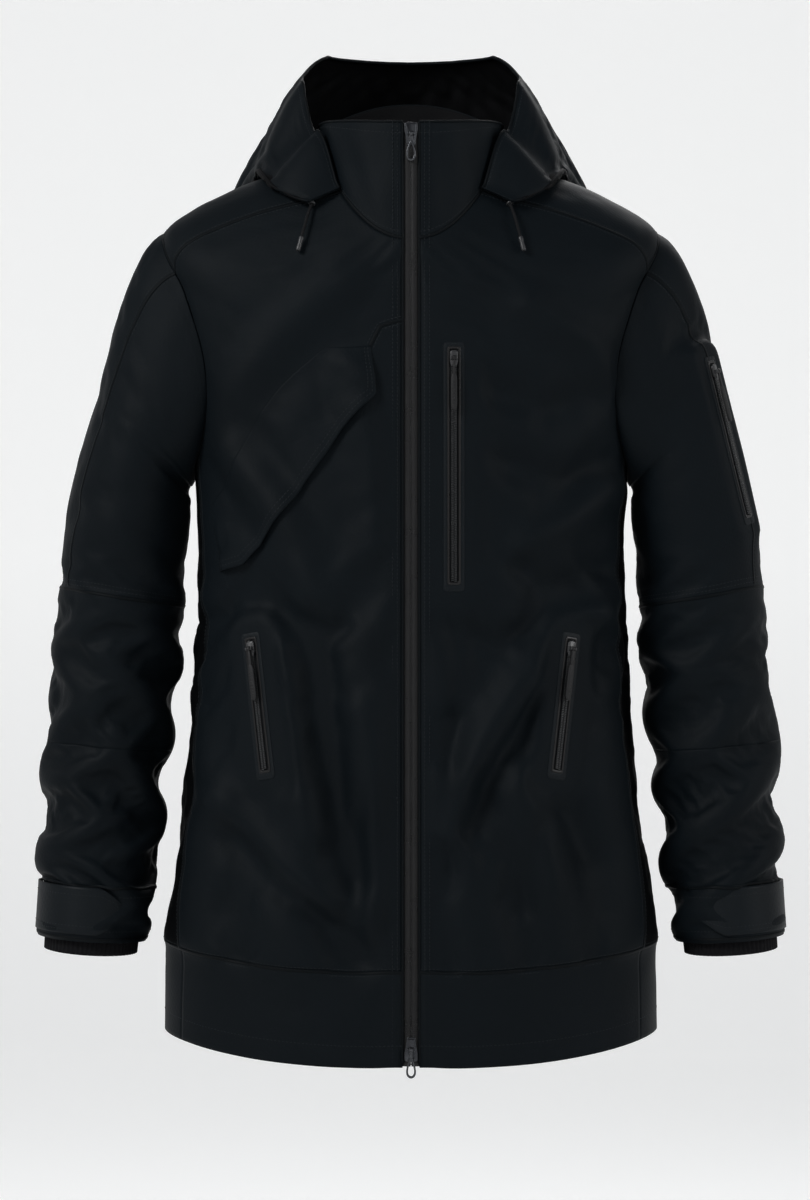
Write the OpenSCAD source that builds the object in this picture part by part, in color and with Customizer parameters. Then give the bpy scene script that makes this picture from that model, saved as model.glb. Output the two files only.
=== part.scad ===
// Hardshell jacket with a folded-back hood, in the shape it takes when worn.
// Millimetres, +Z up, -Y is the front, +X is the wearer's left.
// The origin is in the neck opening, where a hanger's hook comes out, level with the back neck seam.

/* [Body] */
// Half width at the hem
hem_half_w = 212; // [206:1:216]
// Half width at the waist
waist_half_w = 184; // [180:1:186]
// Half width at the chest
chest_half_w = 187; // [183:1:188]
// From the back of the neck to the front hem
front_length = 765; // [755:5:775]
// Height of the hem band
hem_band_h = 78; // [70:2:84]
// Shell fabric with its lining
shell_t = 1.2; // [1:0.1:1.4]

/* [Neck and hood] */
// Half width of the collar's top edge
collar_half_w = 80; // [78:1:82]
// Height of the collar's top edge at the front
collar_front_z = 25; // [20:1:30]
// Height of the hood's rim behind the neck
hood_rim_z = 112; // [100:2:116]
// How far the hood's pouch hangs below the neck, as a share of the body's chart
hood_drop = 0.20; // [0.16:0.01:0.22]

/* [Sleeves] */
// Half width of the sleeve at the elbow, seen from the front
elbow_half_w = 55; // [52:1:56]
// Half width of the cuff, seen from the front
cuff_half_w = 46; // [44:1:47]
// Half depth of the cuff
cuff_half_d = 54; // [52:1:56]

/* [Zips] */
// Half width of the gap between the front panels
zip_half_gap = 7; // [6.5:0.5:7.5]
// Half width of one pocket zip's welt
welt_half_w = 9; // [8:0.5:9]
// Length of a metal puller
ring_pull_l = 24; // [22:1:28]
// Length of a moulded pocket puller
pocket_pull_l = 44; // [38:2:46]

/* [Hidden] */
$fn = 32;

// The front edge is one straight line, so that a slider can run along it.
front_y0 = -98;
front_slope = 0.062;
front_tilt = atan(front_slope);
function front_y(z) = front_y0 + front_slope * z;

// ---- interpolation ----
function span_of(t, table, i = 0) =
    (i >= len(table) - 2 || t < table[i + 1][0]) ? i : span_of(t, table, i + 1);
function slope_at(table, i) =
    let (a = table[max(i - 1, 0)], b = table[min(i + 1, len(table) - 1)]) (b - a) / (b[0] - a[0]);
function smooth_row(t, table) =
    let (i = span_of(t, table), p = table[i], q = table[i + 1], h = q[0] - p[0], u = (t - p[0]) / h)
    (2 * u^3 - 3 * u^2 + 1) * p + (u^3 - 2 * u^2 + u) * h * slope_at(table, i)
    + (3 * u^2 - 2 * u^3) * q + (u^3 - u^2) * h * slope_at(table, i + 1);
function mix(a, b, u) = a + (b - a) * u;
function ease(u) = let (c = min(max(u, 0), 1)) c * c * (3 - 2 * c);
function unit(v) = v / norm(v);
function signed_pow(x, p) = sign(x) * pow(abs(x), p);

// ---- the body's surface ----
// Rings from hem to neck: chart height, half width, height at side, front and back, back depth, squareness
front_hem_z = -front_length;
band_z = front_hem_z + hem_band_h;
rings = [
    [0.00, hem_half_w, front_hem_z + 20, front_hem_z, front_hem_z - 10, 136, 2.5],
    [0.10, hem_half_w - 2, band_z + 18, band_z, band_z - 4, 138, 2.5],
    [0.35, waist_half_w + 10, -545, -548, -550, 126, 2.45],
    [0.52, waist_half_w, -425, -425, -425, 118, 2.4],
    [0.72, chest_half_w, -262, -268, -262, 134, 2.5],
    [0.82, 201, -168, -195, -170, 136, 2.7],
    [0.88, 211, -106, -152, -112, 126, 2.8],
    [0.93, 212, -60, -118, -64, 108, 2.7],
    [0.965, 152, -21, -96, -28, 92, 2.4],
    [1.00, 78, 4, -75, 0, 72, 2.2]
];
band_v = 0.10;
function ring_point(r, th) =
    let (e = 2 / r[6], c = cos(th), s = sin(th), end_z = s < 0 ? r[3] : r[4])
    [r[1] * signed_pow(c, e),
     s < 0 ? front_y(r[3]) * pow(-s, e) : r[5] * pow(s, e),
     r[2] + (end_z - r[2]) * s * s];
function body(th, v) = ring_point(smooth_row(v, rings), th);
function body_out(th, v, off) =
    let (around = body(th + 0.5, v) - body(th - 0.5, v), up = body(th, v + 0.004) - body(th, v - 0.004))
    body(th, v) + off * unit(cross(around, up));
// The angle at which the ring at v is x from the centre line, on the front
function front_angle(v, x) = let (r = smooth_row(v, rings)) -acos(pow(x / r[1], r[6] / 2));

// ---- seams on the body's chart, as [angle, height] ----
armhole_v = 0.825;
armhole_half_v = 0.105;
armhole_half_angle = 34;
side_half_angle_top = 16;
function armhole(ph) = [-armhole_half_angle * sin(ph), armhole_v + armhole_half_v * cos(ph)];
side_top_ph = 180 - asin(side_half_angle_top / armhole_half_angle);
function side_half_angle(v) = mix(27, side_half_angle_top, min(v / 0.72, 1));
yoke_front_ph = 47;
yoke_neck_angle = -42;
yoke_back_v = 0.86;
yoke_back_ph = -acos((yoke_back_v - armhole_v) / armhole_half_v);
yoke_back_angle = armhole(yoke_back_ph)[0];

// ---- closed thin shells from a grid of outer points and a grid of inner points ----
function flat_list(rows) = [for (r = rows) each r];
module sheet_shell(outer, inner) {
    m = len(outer);
    n = len(outer[0]);
    k = m * n;
    edge = concat(
        [for (j = [0 : n - 2]) [j, j + 1]],
        [for (i = [0 : m - 2]) [i * n + n - 1, (i + 1) * n + n - 1]],
        [for (j = [n - 1 : -1 : 1]) [(m - 1) * n + j, (m - 1) * n + j - 1]],
        [for (i = [m - 1 : -1 : 1]) [i * n, (i - 1) * n]]);
    faces = concat(
        [for (i = [0 : m - 2], j = [0 : n - 2]) each let (a = i * n + j)
            [[a, a + n + 1, a + 1], [a, a + n, a + n + 1]]],
        [for (i = [0 : m - 2], j = [0 : n - 2]) each let (a = k + i * n + j)
            [[a, a + 1, a + n + 1], [a, a + n + 1, a + n]]],
        [for (e = edge) each [[e[0], e[1], k + e[1]], [e[0], k + e[1], k + e[0]]]]);
    polyhedron(points = concat(flat_list(outer), flat_list(inner)), faces = faces, convexity = 8);
}
module tube_shell(outer, inner) {
    m = len(outer);
    n = len(outer[0]);
    k = m * n;
    faces = concat(
        [for (i = [0 : m - 2], j = [0 : n - 1]) each let (a = i * n + j, b = i * n + (j + 1) % n)
            [[a, b + n, b], [a, a + n, b + n]]],
        [for (i = [0 : m - 2], j = [0 : n - 1]) each let (a = k + i * n + j, b = k + i * n + (j + 1) % n)
            [[a, b, b + n], [a, b + n, a + n]]],
        [for (j = [0 : n - 1]) each let (a = j, b = (j + 1) % n)
            [[a, b, k + b], [a, k + b, k + a]]],
        [for (j = [0 : n - 1]) each let (a = k - n + j, b = k - n + (j + 1) % n)
            [[a, k + b, b], [a, k + a, k + b]]]);
    polyhedron(points = concat(flat_list(outer), flat_list(inner)), faces = faces, convexity = 8);
}
// A sheet over the body between chart points, lying between two offsets
module body_sheet(chart, out_a, out_b) {
    sheet_shell([for (r = chart) [for (p = r) body_out(p[0], p[1], out_a)]],
                [for (r = chart) [for (p = r) body_out(p[0], p[1], out_b)]]);
}
function chart_rows(starts, ends, n) =
    [for (i = [0 : len(starts) - 1]) [for (j = [0 : n]) mix(starts[i], ends[i], j / n)]];

// ---- body panels ----
module front_panel() {
    centre = [for (i = [0 : 13]) let (v = mix(band_v, 1, i / 13)) [front_angle(v, zip_half_gap), v]];
    neck = [for (i = [1 : 5]) [mix(front_angle(1, zip_half_gap), yoke_neck_angle, i / 5), 1]];
    side_end_v = armhole(side_top_ph)[1];
    side = [for (i = [0 : 9]) let (v = mix(band_v, side_end_v, i / 9)) [-side_half_angle(v), v]];
    arm = [for (i = [1 : 9]) armhole(mix(side_top_ph, yoke_front_ph, i / 9))];
    color([0.03, 0.04, 0.05])
        body_sheet(chart_rows(concat(centre, neck), concat(side, arm), 9), 0, -shell_t);
}
module side_panel() {
    cols = 6;
    rows = 10;
    function top_v(f) = armhole(180 - asin(f * side_half_angle_top / armhole_half_angle))[1];
    chart = [for (i = [0 : rows]) [for (j = [0 : cols])
        let (f = 2 * j / cols - 1, v = mix(band_v, top_v(f), i / rows)) [f * side_half_angle(v), v]]];
    color([0.02, 0.02, 0.02]) body_sheet(chart, 0, -shell_t);
}
function back_edge(v) =
    v < armhole(side_top_ph)[1] ? side_half_angle(v)
    : armhole_half_angle * sqrt(1 - pow((v - armhole_v) / armhole_half_v, 2));
module back_panel() {
    rows = 13;
    starts = [for (i = [0 : rows]) let (v = mix(band_v, yoke_back_v, i / rows)) [back_edge(v), v]];
    ends = [for (p = starts) [180 - p[0], p[1]]];
    color([0.03, 0.04, 0.05]) body_sheet(chart_rows(starts, ends, 14), 0, -shell_t);
}
module shoulder_yoke() {
    along_arm = 12;
    along_back = 6;
    half = concat(
        [for (i = [0 : along_arm]) let (u = i / along_arm)
            [[mix(yoke_neck_angle, yoke_back_angle + 3, u), 1], armhole(mix(yoke_front_ph, yoke_back_ph, u))]],
        [for (i = [1 : along_back]) let (u = i / along_back)
            [[mix(yoke_back_angle + 3, 90, u), 1], [mix(yoke_back_angle, 90, u), yoke_back_v]]]);
    other = [for (i = [len(half) - 2 : -1 : 0]) [for (p = half[i]) [180 - p[0], p[1]]]];
    all = concat(half, other);
    chart = [for (q = all) [for (j = [0 : 6]) mix(q[0], q[1], j / 6)]];
    color([0.03, 0.04, 0.05]) body_sheet(chart, 0, -shell_t);
}
module hem_band(from_angle, to_angle, cols) {
    chart = [for (i = [0 : 3]) let (v = band_v * i / 3)
        [for (j = [0 : cols]) let (a = from_angle > -80 ? from_angle : front_angle(v, zip_half_gap))
            [mix(a, to_angle, j / cols), v]]];
    color([0.03, 0.04, 0.05]) body_sheet(chart, 0.3, -1.5);
}
module powder_skirt() {
    function skirt(th, u, off) = body_out(th, mix(0.30, 0.15, u), -mix(12, 26, ease(u)) + off);
    rows = [for (i = [0 : 3]) i / 3];
    cols = [for (j = [0 : 29]) -78 + 336 * j / 29];
    color([0.10, 0.11, 0.12])
        sheet_shell([for (u = rows) [for (a = cols) skirt(a, 1 - u, 0.4)]],
                    [for (u = rows) [for (a = cols) skirt(a, 1 - u, -0.4)]]);
}

// ---- collar ----
function collar_top(th) =
    let (c = cos(th), s = sin(th), front = s < 0)
    [collar_half_w * signed_pow(c, 0.9),
     front ? front_y(collar_front_z) * pow(-s, 0.9) : 80 * pow(s, 0.9),
     32 + (front ? collar_front_z - 32 : 30) * s * s];
function collar(th, w) = mix(body(th, 1), collar_top(th), w);
function collar_out(th, w, off) =
    let (around = collar(th + 0.5, w) - collar(th - 0.5, w), up = collar(th, w + 0.05) - collar(th, w - 0.05))
    collar(th, w) + off * unit(cross(around, up));
module collar_sheet(from_angle, to_angle, cols, w0, w1, out_a, out_b) {
    ws = [for (i = [0 : 4]) mix(w0, w1, i / 4)];
    as = [for (j = [0 : cols]) mix(from_angle, to_angle, j / cols)];
    sheet_shell([for (w = ws) [for (a = as) collar_out(a, w, out_a)]],
                [for (w = ws) [for (a = as) collar_out(a, w, out_b)]]);
}
collar_front_angle = -acos(pow(zip_half_gap / collar_half_w, 1 / 0.9));
module collar_half() {
    color([0.03, 0.04, 0.05]) collar_sheet(collar_front_angle, 90, 14, 0.01, 1, 0, -1.4);
}
module collar_lining() {
    color([0.10, 0.11, 0.12]) collar_sheet(-78, 258, 24, 0.04, 0.98, -2.0, -3.2);
}
loop_half_w = 32;
module hang_loop() {
    // A straight webbing strap across the curved back of the neck, sewn down at both ends
    color([0.05, 0.05, 0.05]) {
        translate([-loop_half_w, 65.6, 22]) cube([2 * loop_half_w, 1.2, 8]);
        for (x = [-loop_half_w, loop_half_w - 6])
            translate([x, 66.5, 22]) cube([6, 2.4, 8]);
    }
}

// ---- sleeves, drawn for the wearer's left ----
// Rings down the arm: share of length, centre x, y, z, tilt, half width, half depth
cap_end = 0.25;
arm_rings = [
    [0.25, 232, 0, -235, 45, 56, 70],
    [0.42, 247, 2, -315, 16, 54, 69],
    [0.52, 252, 5, -372, 9, 54, 67],
    [0.62, 257, 8, -432, 6, elbow_half_w, 66],
    [0.74, 263, 3, -500, 5, 53, 62],
    [0.86, 268, -6, -570, 4, 50, 58],
    [0.93, 271, -13, -618, 4, cuff_half_w + 1.5, cuff_half_d + 2],
    [1.00, 275, -20, -668, 4, cuff_half_w, cuff_half_d]
];
seam_s = 0.52;
elbow_s = 0.62;
forearm_s = 0.74;
cuff_s = 0.93;
function arm_ring(s, ph) =
    let (r = smooth_row(s, arm_rings))
    [r[1] + r[5] * cos(ph) * cos(r[4]), r[2] - r[6] * sin(ph), r[3] + r[5] * cos(ph) * sin(r[4])];
function sleeve(s, ph) =
    let (u = s / cap_end, p = armhole(ph), a = body(p[0], p[1]), e = arm_ring(cap_end, ph),
         m = a + [17 + 15 * cos(ph), 0, -6 + 6 * cos(ph)])
    s >= cap_end ? arm_ring(s, ph) : (1 - u)^2 * a + 2 * u * (1 - u) * m + u^2 * e;
function sleeve_out(s, ph, off) =
    let (around = sleeve(s, ph + 2) - sleeve(s, ph - 2), down = sleeve(s + 0.004, ph) - sleeve(s - 0.004, ph))
    sleeve(s, ph) + off * unit(cross(around, down));
module sleeve_tube(s0, s1, rows, out_a, out_b, cols = 24) {
    ss = [for (i = [0 : rows]) mix(s1, s0, i / rows)];
    phs = [for (j = [0 : cols - 1]) -360 * j / cols];
    tube_shell([for (s = ss) [for (p = phs) sleeve_out(s, -p, out_a)]],
               [for (s = ss) [for (p = phs) sleeve_out(s, -p, out_b)]]);
}
module sleeve_upper() { color([0.03, 0.04, 0.05]) sleeve_tube(0.004, seam_s, 9, 0, -shell_t); }
module sleeve_elbow() { color([0.03, 0.04, 0.05]) sleeve_tube(seam_s + 0.001, forearm_s - 0.001, 4, 0, -shell_t); }
module forearm() { color([0.03, 0.04, 0.05]) sleeve_tube(forearm_s, cuff_s - 0.001, 4, 0, -shell_t); }
module cuff() { color([0.03, 0.04, 0.05]) sleeve_tube(cuff_s, 1, 2, 0.2, -1.6); }
module wrist_gaiter() { color([0.06, 0.06, 0.07]) sleeve_tube(0.88, 1.016, 3, -5.5, -6.7); }
tab_ph0 = -12;
tab_ph1 = 122;
tab_gap = 1.0;
tab_t = 1.8;
module cuff_tab() {
    ss = [for (i = [0 : 2]) mix(0.992, 0.936, i / 2)];
    function tip(i) = i == 1 ? 6 : 0;
    function ph(i, j) = mix(tab_ph0, tab_ph1 + tip(i), j / 12);
    color([0.04, 0.05, 0.06])
        sheet_shell([for (i = [0 : 2]) [for (j = [0 : 12]) sleeve_out(ss[i], ph(i, j), tab_gap + tab_t)]],
                    [for (i = [0 : 2]) [for (j = [0 : 12]) sleeve_out(ss[i], ph(i, j), tab_gap)]]);
}

// ---- zips ----
// A zip lies along local z, with local -y outward.
module main_zip_place() { translate([0, front_y0, 0]) rotate([-front_tilt, 0, 0]) children(); }
module frame_place(at, up, out) {
    z = unit(up);
    x = unit(cross(z, out));
    y = cross(z, x);
    multmatrix([[x[0], y[0], z[0], at[0]], [x[1], y[1], z[1], at[1]], [x[2], y[2], z[2], at[2]], [0, 0, 0, 1]])
        children();
}
// A box from x0 to x1, standing out0 to out1 proud, z0 to z1 along the zip
module bar(x0, x1, out0, out1, z0, z1) {
    translate([x0, -out1, z0]) cube([x1 - x0, out1 - out0, z1 - z0]);
}
main_zip_top = collar_front_z / cos(front_tilt) - 1;
main_zip_end = front_hem_z / cos(front_tilt) + 1;
module main_zip_tape() { color([0.02, 0.02, 0.02]) bar(3.1, 16, -2.2, -1.5, main_zip_end, main_zip_top); }
module main_zip_teeth() { color([0.12, 0.12, 0.12]) bar(0.9, 3.1, -3.0, -0.6, main_zip_end, main_zip_top); }
module storm_flap() {
    color([0.03, 0.04, 0.05]) main_zip_place() bar(-16, 22, -7.2, -6.0, main_zip_end + 4, main_zip_top - 3);
}
pin_r = 0.8;
pin_clearance = 0.06;
eye_r = 2;
module slider_ears(base, pin_out) {
    for (side = [-1, 1])
        translate([side * 2.3 - 0.5, -pin_out - 1.4, -2]) cube([1, pin_out + 1.4 - base, 4]);
    translate([0, -pin_out, 0]) rotate([0, 90, 0]) cylinder(r = pin_r, h = 5.4, center = true);
}
// The slider of the main zip holds the teeth between two plates joined by a post at one end.
main_slider_l = 20;
main_pin_out = 3.3;
module main_slider(post_end) {
    color([0.35, 0.35, 0.37]) {
        bar(-5.5, 5.5, -0.3, 1.0, -main_slider_l / 2, main_slider_l / 2);
        bar(-5.5, 5.5, -4.8, -3.4, -main_slider_l / 2, main_slider_l / 2);
        bar(-0.6, 0.6, -3.4, -0.3, post_end > 0 ? 4 : -9, post_end > 0 ? 9 : -4);
        slider_ears(1.0, main_pin_out);
    }
}
module ring_pull(pin_out, l) {
    color([0.45, 0.45, 0.47])
        translate([0, -pin_out, 0]) {
            difference() {
                rotate([0, 90, 0]) cylinder(r = eye_r, h = 3, center = true);
                rotate([0, 90, 0]) cylinder(r = pin_r + pin_clearance, h = 4, center = true);
            }
            difference() {
                union() {
                    translate([-1.5, -0.8, -6]) cube([3, 1.6, 4.3]);
                    translate([0, 0.8, -l + 5.5]) rotate([90, 0, 0]) cylinder(r = 5, h = 1.6);
                    translate([-3, -0.8, -l + 8]) cube([6, 1.6, l - 13]);
                }
                translate([0, 2, -l + 5.5]) rotate([90, 0, 0]) cylinder(r = 3, h = 4);
            }
        }
}
top_slider_z = 14;
bottom_slider_z = main_zip_end + 14;
module main_slider_top() { main_zip_place() translate([0, 0, top_slider_z]) main_slider(1); }
module main_pull_top() { main_zip_place() translate([0, 0, top_slider_z]) ring_pull(main_pin_out, ring_pull_l); }
module main_slider_bottom() { main_zip_place() translate([0, 0, bottom_slider_z]) main_slider(-1); }
module main_pull_bottom() { main_zip_place() translate([0, 0, bottom_slider_z]) ring_pull(main_pin_out, ring_pull_l); }

// Pocket zips: a welt frame, two rows of teeth with a slit between them, a slider that clasps the teeth
welt_out = 1.0;
teeth_out = 1.8;
module pocket_welt(length, base, sink) {
    color([0.02, 0.02, 0.02]) difference() {
        bar(-welt_half_w, welt_half_w, base - sink, base + welt_out - 0.2, -length - 8, 14);
        bar(-3.8, 3.8, base - sink - 1, base + welt_out + 1, -length, 8);
    }
}
module pocket_teeth(length, base, sink) {
    color([0.15, 0.15, 0.15])
        for (x = [-2.3, 0.5])
            bar(x, x + 1.8, base - sink, base + teeth_out, -length + 0.5, 7.5);
}
pocket_slider_l = 13;
module pocket_slider(base) {
    pin_out = base + teeth_out + 1.1 + 2.4;
    color([0.12, 0.12, 0.13]) {
        bar(-3.4, 3.4, base + teeth_out + 0.3, base + teeth_out + 1.1, -pocket_slider_l / 2, pocket_slider_l / 2);
        for (x = [-3.4, 2.6])
            bar(x, x + 0.8, base + 0.4, base + teeth_out + 0.4, -pocket_slider_l / 2, pocket_slider_l / 2);
        slider_ears(base + teeth_out + 1.1, pin_out);
    }
}
module pocket_pull(base) {
    pin_out = base + teeth_out + 1.1 + 2.4;
    color([0.02, 0.02, 0.02])
        translate([0, -pin_out, 0]) {
            difference() {
                rotate([0, 90, 0]) cylinder(r = eye_r, h = 3, center = true);
                rotate([0, 90, 0]) cylinder(r = pin_r + pin_clearance, h = 4, center = true);
            }
            translate([-1.5, -0.9, -14]) cube([3, 1.8, 12.3]);
            translate([-2.6, -1.4, -pocket_pull_l]) cube([5.2, 2.8, pocket_pull_l - 13]);
        }
}

// Chest pocket zip, upright on the wearer's left
chest_x = 36;
chest_top_z = -176;
chest_zip_l = 188;
module chest_place() { main_zip_place() translate([chest_x, 0, chest_top_z]) children(); }
module chest_pocket_bag() {
    chart = [for (i = [0 : 6]) [for (j = [0 : 5]) [mix(-82.5, -58, j / 5), mix(0.57, 0.83, i / 6)]]];
    color([0.10, 0.11, 0.12]) body_sheet(chart, -4, -6.5);
}

// Hand pocket zips, sloping inwards as they go down, drawn for the wearer's left
hand_top = [-47, 0.54];
hand_low = [-55.5, 0.385];
hand_top_p = body(hand_top[0], hand_top[1]);
hand_low_p = body(hand_low[0], hand_low[1]);
hand_mid_out = unit(cross(body(-50, 0.46) - body(-52, 0.46), body(-51, 0.465) - body(-51, 0.455)));
hand_zip_l = norm(hand_top_p - hand_low_p) - 14;
hand_lift = 3.0;
module hand_place() {
    up = hand_top_p - hand_low_p;
    out = unit(hand_mid_out - unit(up) * (hand_mid_out * unit(up)));
    frame_place(hand_top_p - unit(up) * 10 + out * hand_lift, up, out) children();
}

// Sleeve pocket zip on the front of the wearer's left sleeve
sleeve_zip_ph = 42;
sleeve_zip_top = sleeve(0.215, sleeve_zip_ph);
sleeve_zip_low = sleeve(0.43, sleeve_zip_ph);
sleeve_zip_l = norm(sleeve_zip_top - sleeve_zip_low) - 12;
sleeve_zip_lift = 3.5;
module sleeve_zip_place() {
    up = unit(sleeve_zip_top - sleeve_zip_low);
    raw = sleeve_out(0.33, sleeve_zip_ph, 1) - sleeve(0.33, sleeve_zip_ph);
    out = unit(raw - up * (raw * up));
    frame_place(sleeve_zip_top - up * 8 + out * sleeve_zip_lift, up, out) children();
}

// Storm flap over the slanting chest pocket on the wearer's right, on the chart of the wearer's left
flap_free = [[-85.5, 0.862], [-85.5, 0.805], [-77, 0.758], [-65, 0.695], [-52, 0.638], [-44.5, 0.620], [-32, 0.611]];
flap_fixed = [[-77, 0.859], [-73, 0.844], [-63, 0.808], [-52, 0.765], [-41, 0.714], [-33, 0.694], [-26, 0.678]];
flap_gap = 0.9;
flap_t = 1.1;
module chest_flap() {
    starts = flap_free;
    ends = flap_fixed;
    fine = [for (i = [0 : len(starts) - 2], k = [0 : 2]) [mix(starts[i], starts[i + 1], k / 3), mix(ends[i], ends[i + 1], k / 3)]];
    all = concat(fine, [[starts[len(starts) - 1], ends[len(ends) - 1]]]);
    chart = [for (q = all) [for (j = [0 : 4]) mix(q[0], q[1], j / 4)]];
    color([0.04, 0.05, 0.06]) mirror([1, 0, 0])
        sheet_shell([for (r = chart) [for (p = r) body_out(p[0], p[1], flap_gap)]],
                    [for (r = chart) [for (p = r) body_out(p[0], p[1], flap_gap + flap_t)]]);
}

// ---- hood, folded back ----
// The hood lies on the body from the neck seam down to its fold, then comes back up outside to its rim.
hood_front_angle = -42;
crown_angle = 42;
function hood_share(th) = let (a = th > 90 ? 180 - th : th) ease((a - hood_front_angle) / (90 - hood_front_angle));
function hood_fold_v(th) = 1 - mix(0.024, hood_drop, pow(hood_share(th), 4));
function hood_under(th, u) = body_out(th, mix(0.998, hood_fold_v(th), u), mix(3, 5, u));
function hood_rim(th) =
    let (k = hood_share(th), a = th > 90 ? 180 - th : th)
    [mix(88, 102, min(1, k * 2.4)) * cos(th), (sin(th) < 0 ? 104 : 118) * sin(th),
     a < 0 ? mix(-22, 28, ease((a - hood_front_angle) / 12)) + 50 * ease(a / 25 + 1) : mix(78, hood_rim_z, ease(a / 45))];
function hood_outer(th, u) =
    let (k = hood_share(th), low = body_out(th, hood_fold_v(th), 8), rim = hood_rim(th),
         away = unit([low[0], low[1] - 20, 0]), c1 = low + away * mix(5, 40, k * k) - [0, 0, mix(1, 26, k)],
         c2 = rim + away * mix(12, 74, k * k) - [0, 0, mix(6, 34, k)])
    (1 - u)^3 * low + 3 * u * (1 - u)^2 * c1 + 3 * u^2 * (1 - u) * c2 + u^3 * rim;
hood_t = 1.4;
module hood_sheet(a0, a1, cols, outer) {
    us = [for (i = [0 : 9]) i / 9];
    as = [for (j = [0 : cols]) mix(a0, a1, j / cols)];
    function grow(p, c) = p + unit([p[0], p[1] - 20, 0]) * hood_t;
    if (outer)
        sheet_shell([for (u = us) [for (a = as) grow(hood_outer(a, u))]],
                    [for (u = us) [for (a = as) hood_outer(a, u)]]);
    else
        sheet_shell([for (u = us) [for (a = as) hood_under(a, 1 - u) + [0, 0, hood_t]]],
                    [for (u = us) [for (a = as) hood_under(a, 1 - u)]]);
}
module hood_base() {
    color([0.03, 0.04, 0.05]) {
        hood_sheet(hood_front_angle, 180 - hood_front_angle, 26, false);
        hood_sheet(hood_front_angle, crown_angle - 0.3, 8, true);
        hood_sheet(180.3 - crown_angle, 180 - hood_front_angle, 8, true);
    }
}
module hood_crown() { color([0.03, 0.04, 0.05]) hood_sheet(crown_angle, 180 - crown_angle, 12, true); }

// ---- hood drawcords, drawn for the wearer's left ----
cord_r = 1.3;
cord_route = [[84, -78, -43], [85, -80, -46], [86, -82, -49], [87, -84, -52], [88, -87, -56],
              [89, -89, -60], [90, -91, -64], [91, -93, -68], [92, -94, -72]];
tip_l = 13;
module cord() {
    sides = 8;
    last = len(cord_route) - 1;
    function dir(i) = unit(cord_route[min(i + 1, last)] - cord_route[max(i - 1, 0)]);
    function side_a(i) = unit(cross(dir(i), [1, 0, 0]));
    function side_b(i) = cross(dir(i), side_a(i));
    points = [for (i = [0 : last]) [for (k = [0 : sides - 1])
        cord_route[i] + cord_r * (cos(k * 45) * side_a(i) + sin(k * 45) * side_b(i))]];
    faces = concat(
        [[for (k = [0 : sides - 1]) k]],
        [[for (k = [sides - 1 : -1 : 0]) last * sides + k]],
        [for (i = [0 : last - 1], k = [0 : sides - 1]) each let (a = i * sides + k, b = i * sides + (k + 1) % sides)
            [[a, a + sides, b + sides], [a, b + sides, b]]]);
    color([0.02, 0.02, 0.02]) polyhedron(points = flat_list(points), faces = faces, convexity = 4);
}
module cord_tip() {
    last = len(cord_route) - 1;
    d = unit(cord_route[last] - cord_route[last - 1]);
    color([0.3, 0.3, 0.32])
        frame_place(cord_route[last] + d * 0.05, d, [0, 1, 0]) cylinder(r = 2.1, h = tip_l);
}
module eyelet() {
    d = unit(cord_route[0] - cord_route[1]);
    color([0.2, 0.2, 0.2])
        frame_place(cord_route[0] + d * 0.05, d, [0, 1, 0]) cylinder(r = 3.2, h = 1.6);
}

module left_and_right(side) {
    if (side > 0) children(); else mirror([1, 0, 0]) children();
}

front_panel();  // front_panel_left
left_and_right(-1) front_panel();  // front_panel_right
side_panel();  // side_panel_left
left_and_right(-1) side_panel();  // side_panel_right
back_panel();
shoulder_yoke();
hem_band(-90, -27, 8);  // hem_band_left
left_and_right(-1) hem_band(-90, -27, 8);  // hem_band_right
hem_band(-27, 207, 24);  // hem_band_back
collar_half();  // collar_left
left_and_right(-1) collar_half();  // collar_right
collar_lining();
hang_loop();
main_zip_place() main_zip_tape();  // main_zip_tape_left
left_and_right(-1) main_zip_place() main_zip_tape();  // main_zip_tape_right
main_zip_place() main_zip_teeth();  // main_zip_teeth_left
left_and_right(-1) main_zip_place() main_zip_teeth();  // main_zip_teeth_right
storm_flap();
main_slider_top();
main_pull_top();
main_slider_bottom();
main_pull_bottom();
chest_place() pocket_welt(chest_zip_l, 0.3, 1.6);  // chest_pocket_welt
chest_place() pocket_teeth(chest_zip_l, 0.3, 1.6);  // chest_pocket_teeth
chest_pocket_bag();
chest_place() pocket_slider(0.3);  // chest_slider
chest_place() pocket_pull(0.3);  // chest_pull
chest_flap();
hand_place() pocket_welt(hand_zip_l, 0, 5);  // hand_pocket_welt_left
hand_place() pocket_teeth(hand_zip_l, 0, 5);  // hand_pocket_teeth_left
hand_place() pocket_slider(0);  // hand_slider_left
hand_place() pocket_pull(0);  // hand_pull_left
left_and_right(-1) hand_place() pocket_welt(hand_zip_l, 0, 5);  // hand_pocket_welt_right
left_and_right(-1) hand_place() pocket_teeth(hand_zip_l, 0, 5);  // hand_pocket_teeth_right
left_and_right(-1) hand_place() pocket_slider(0);  // hand_slider_right
left_and_right(-1) hand_place() pocket_pull(0);  // hand_pull_right
sleeve_upper();  // sleeve_upper_left
left_and_right(-1) sleeve_upper();  // sleeve_upper_right
sleeve_elbow();  // sleeve_elbow_left
left_and_right(-1) sleeve_elbow();  // sleeve_elbow_right
forearm();  // forearm_left
left_and_right(-1) forearm();  // forearm_right
cuff();  // cuff_left
left_and_right(-1) cuff();  // cuff_right
cuff_tab();  // cuff_tab_left
left_and_right(-1) cuff_tab();  // cuff_tab_right
wrist_gaiter();  // wrist_gaiter_left
left_and_right(-1) wrist_gaiter();  // wrist_gaiter_right
sleeve_zip_place() pocket_welt(sleeve_zip_l, 0, 5);  // sleeve_pocket_welt
sleeve_zip_place() pocket_teeth(sleeve_zip_l, 0, 5);  // sleeve_pocket_teeth
sleeve_zip_place() pocket_slider(0);  // sleeve_slider
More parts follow.
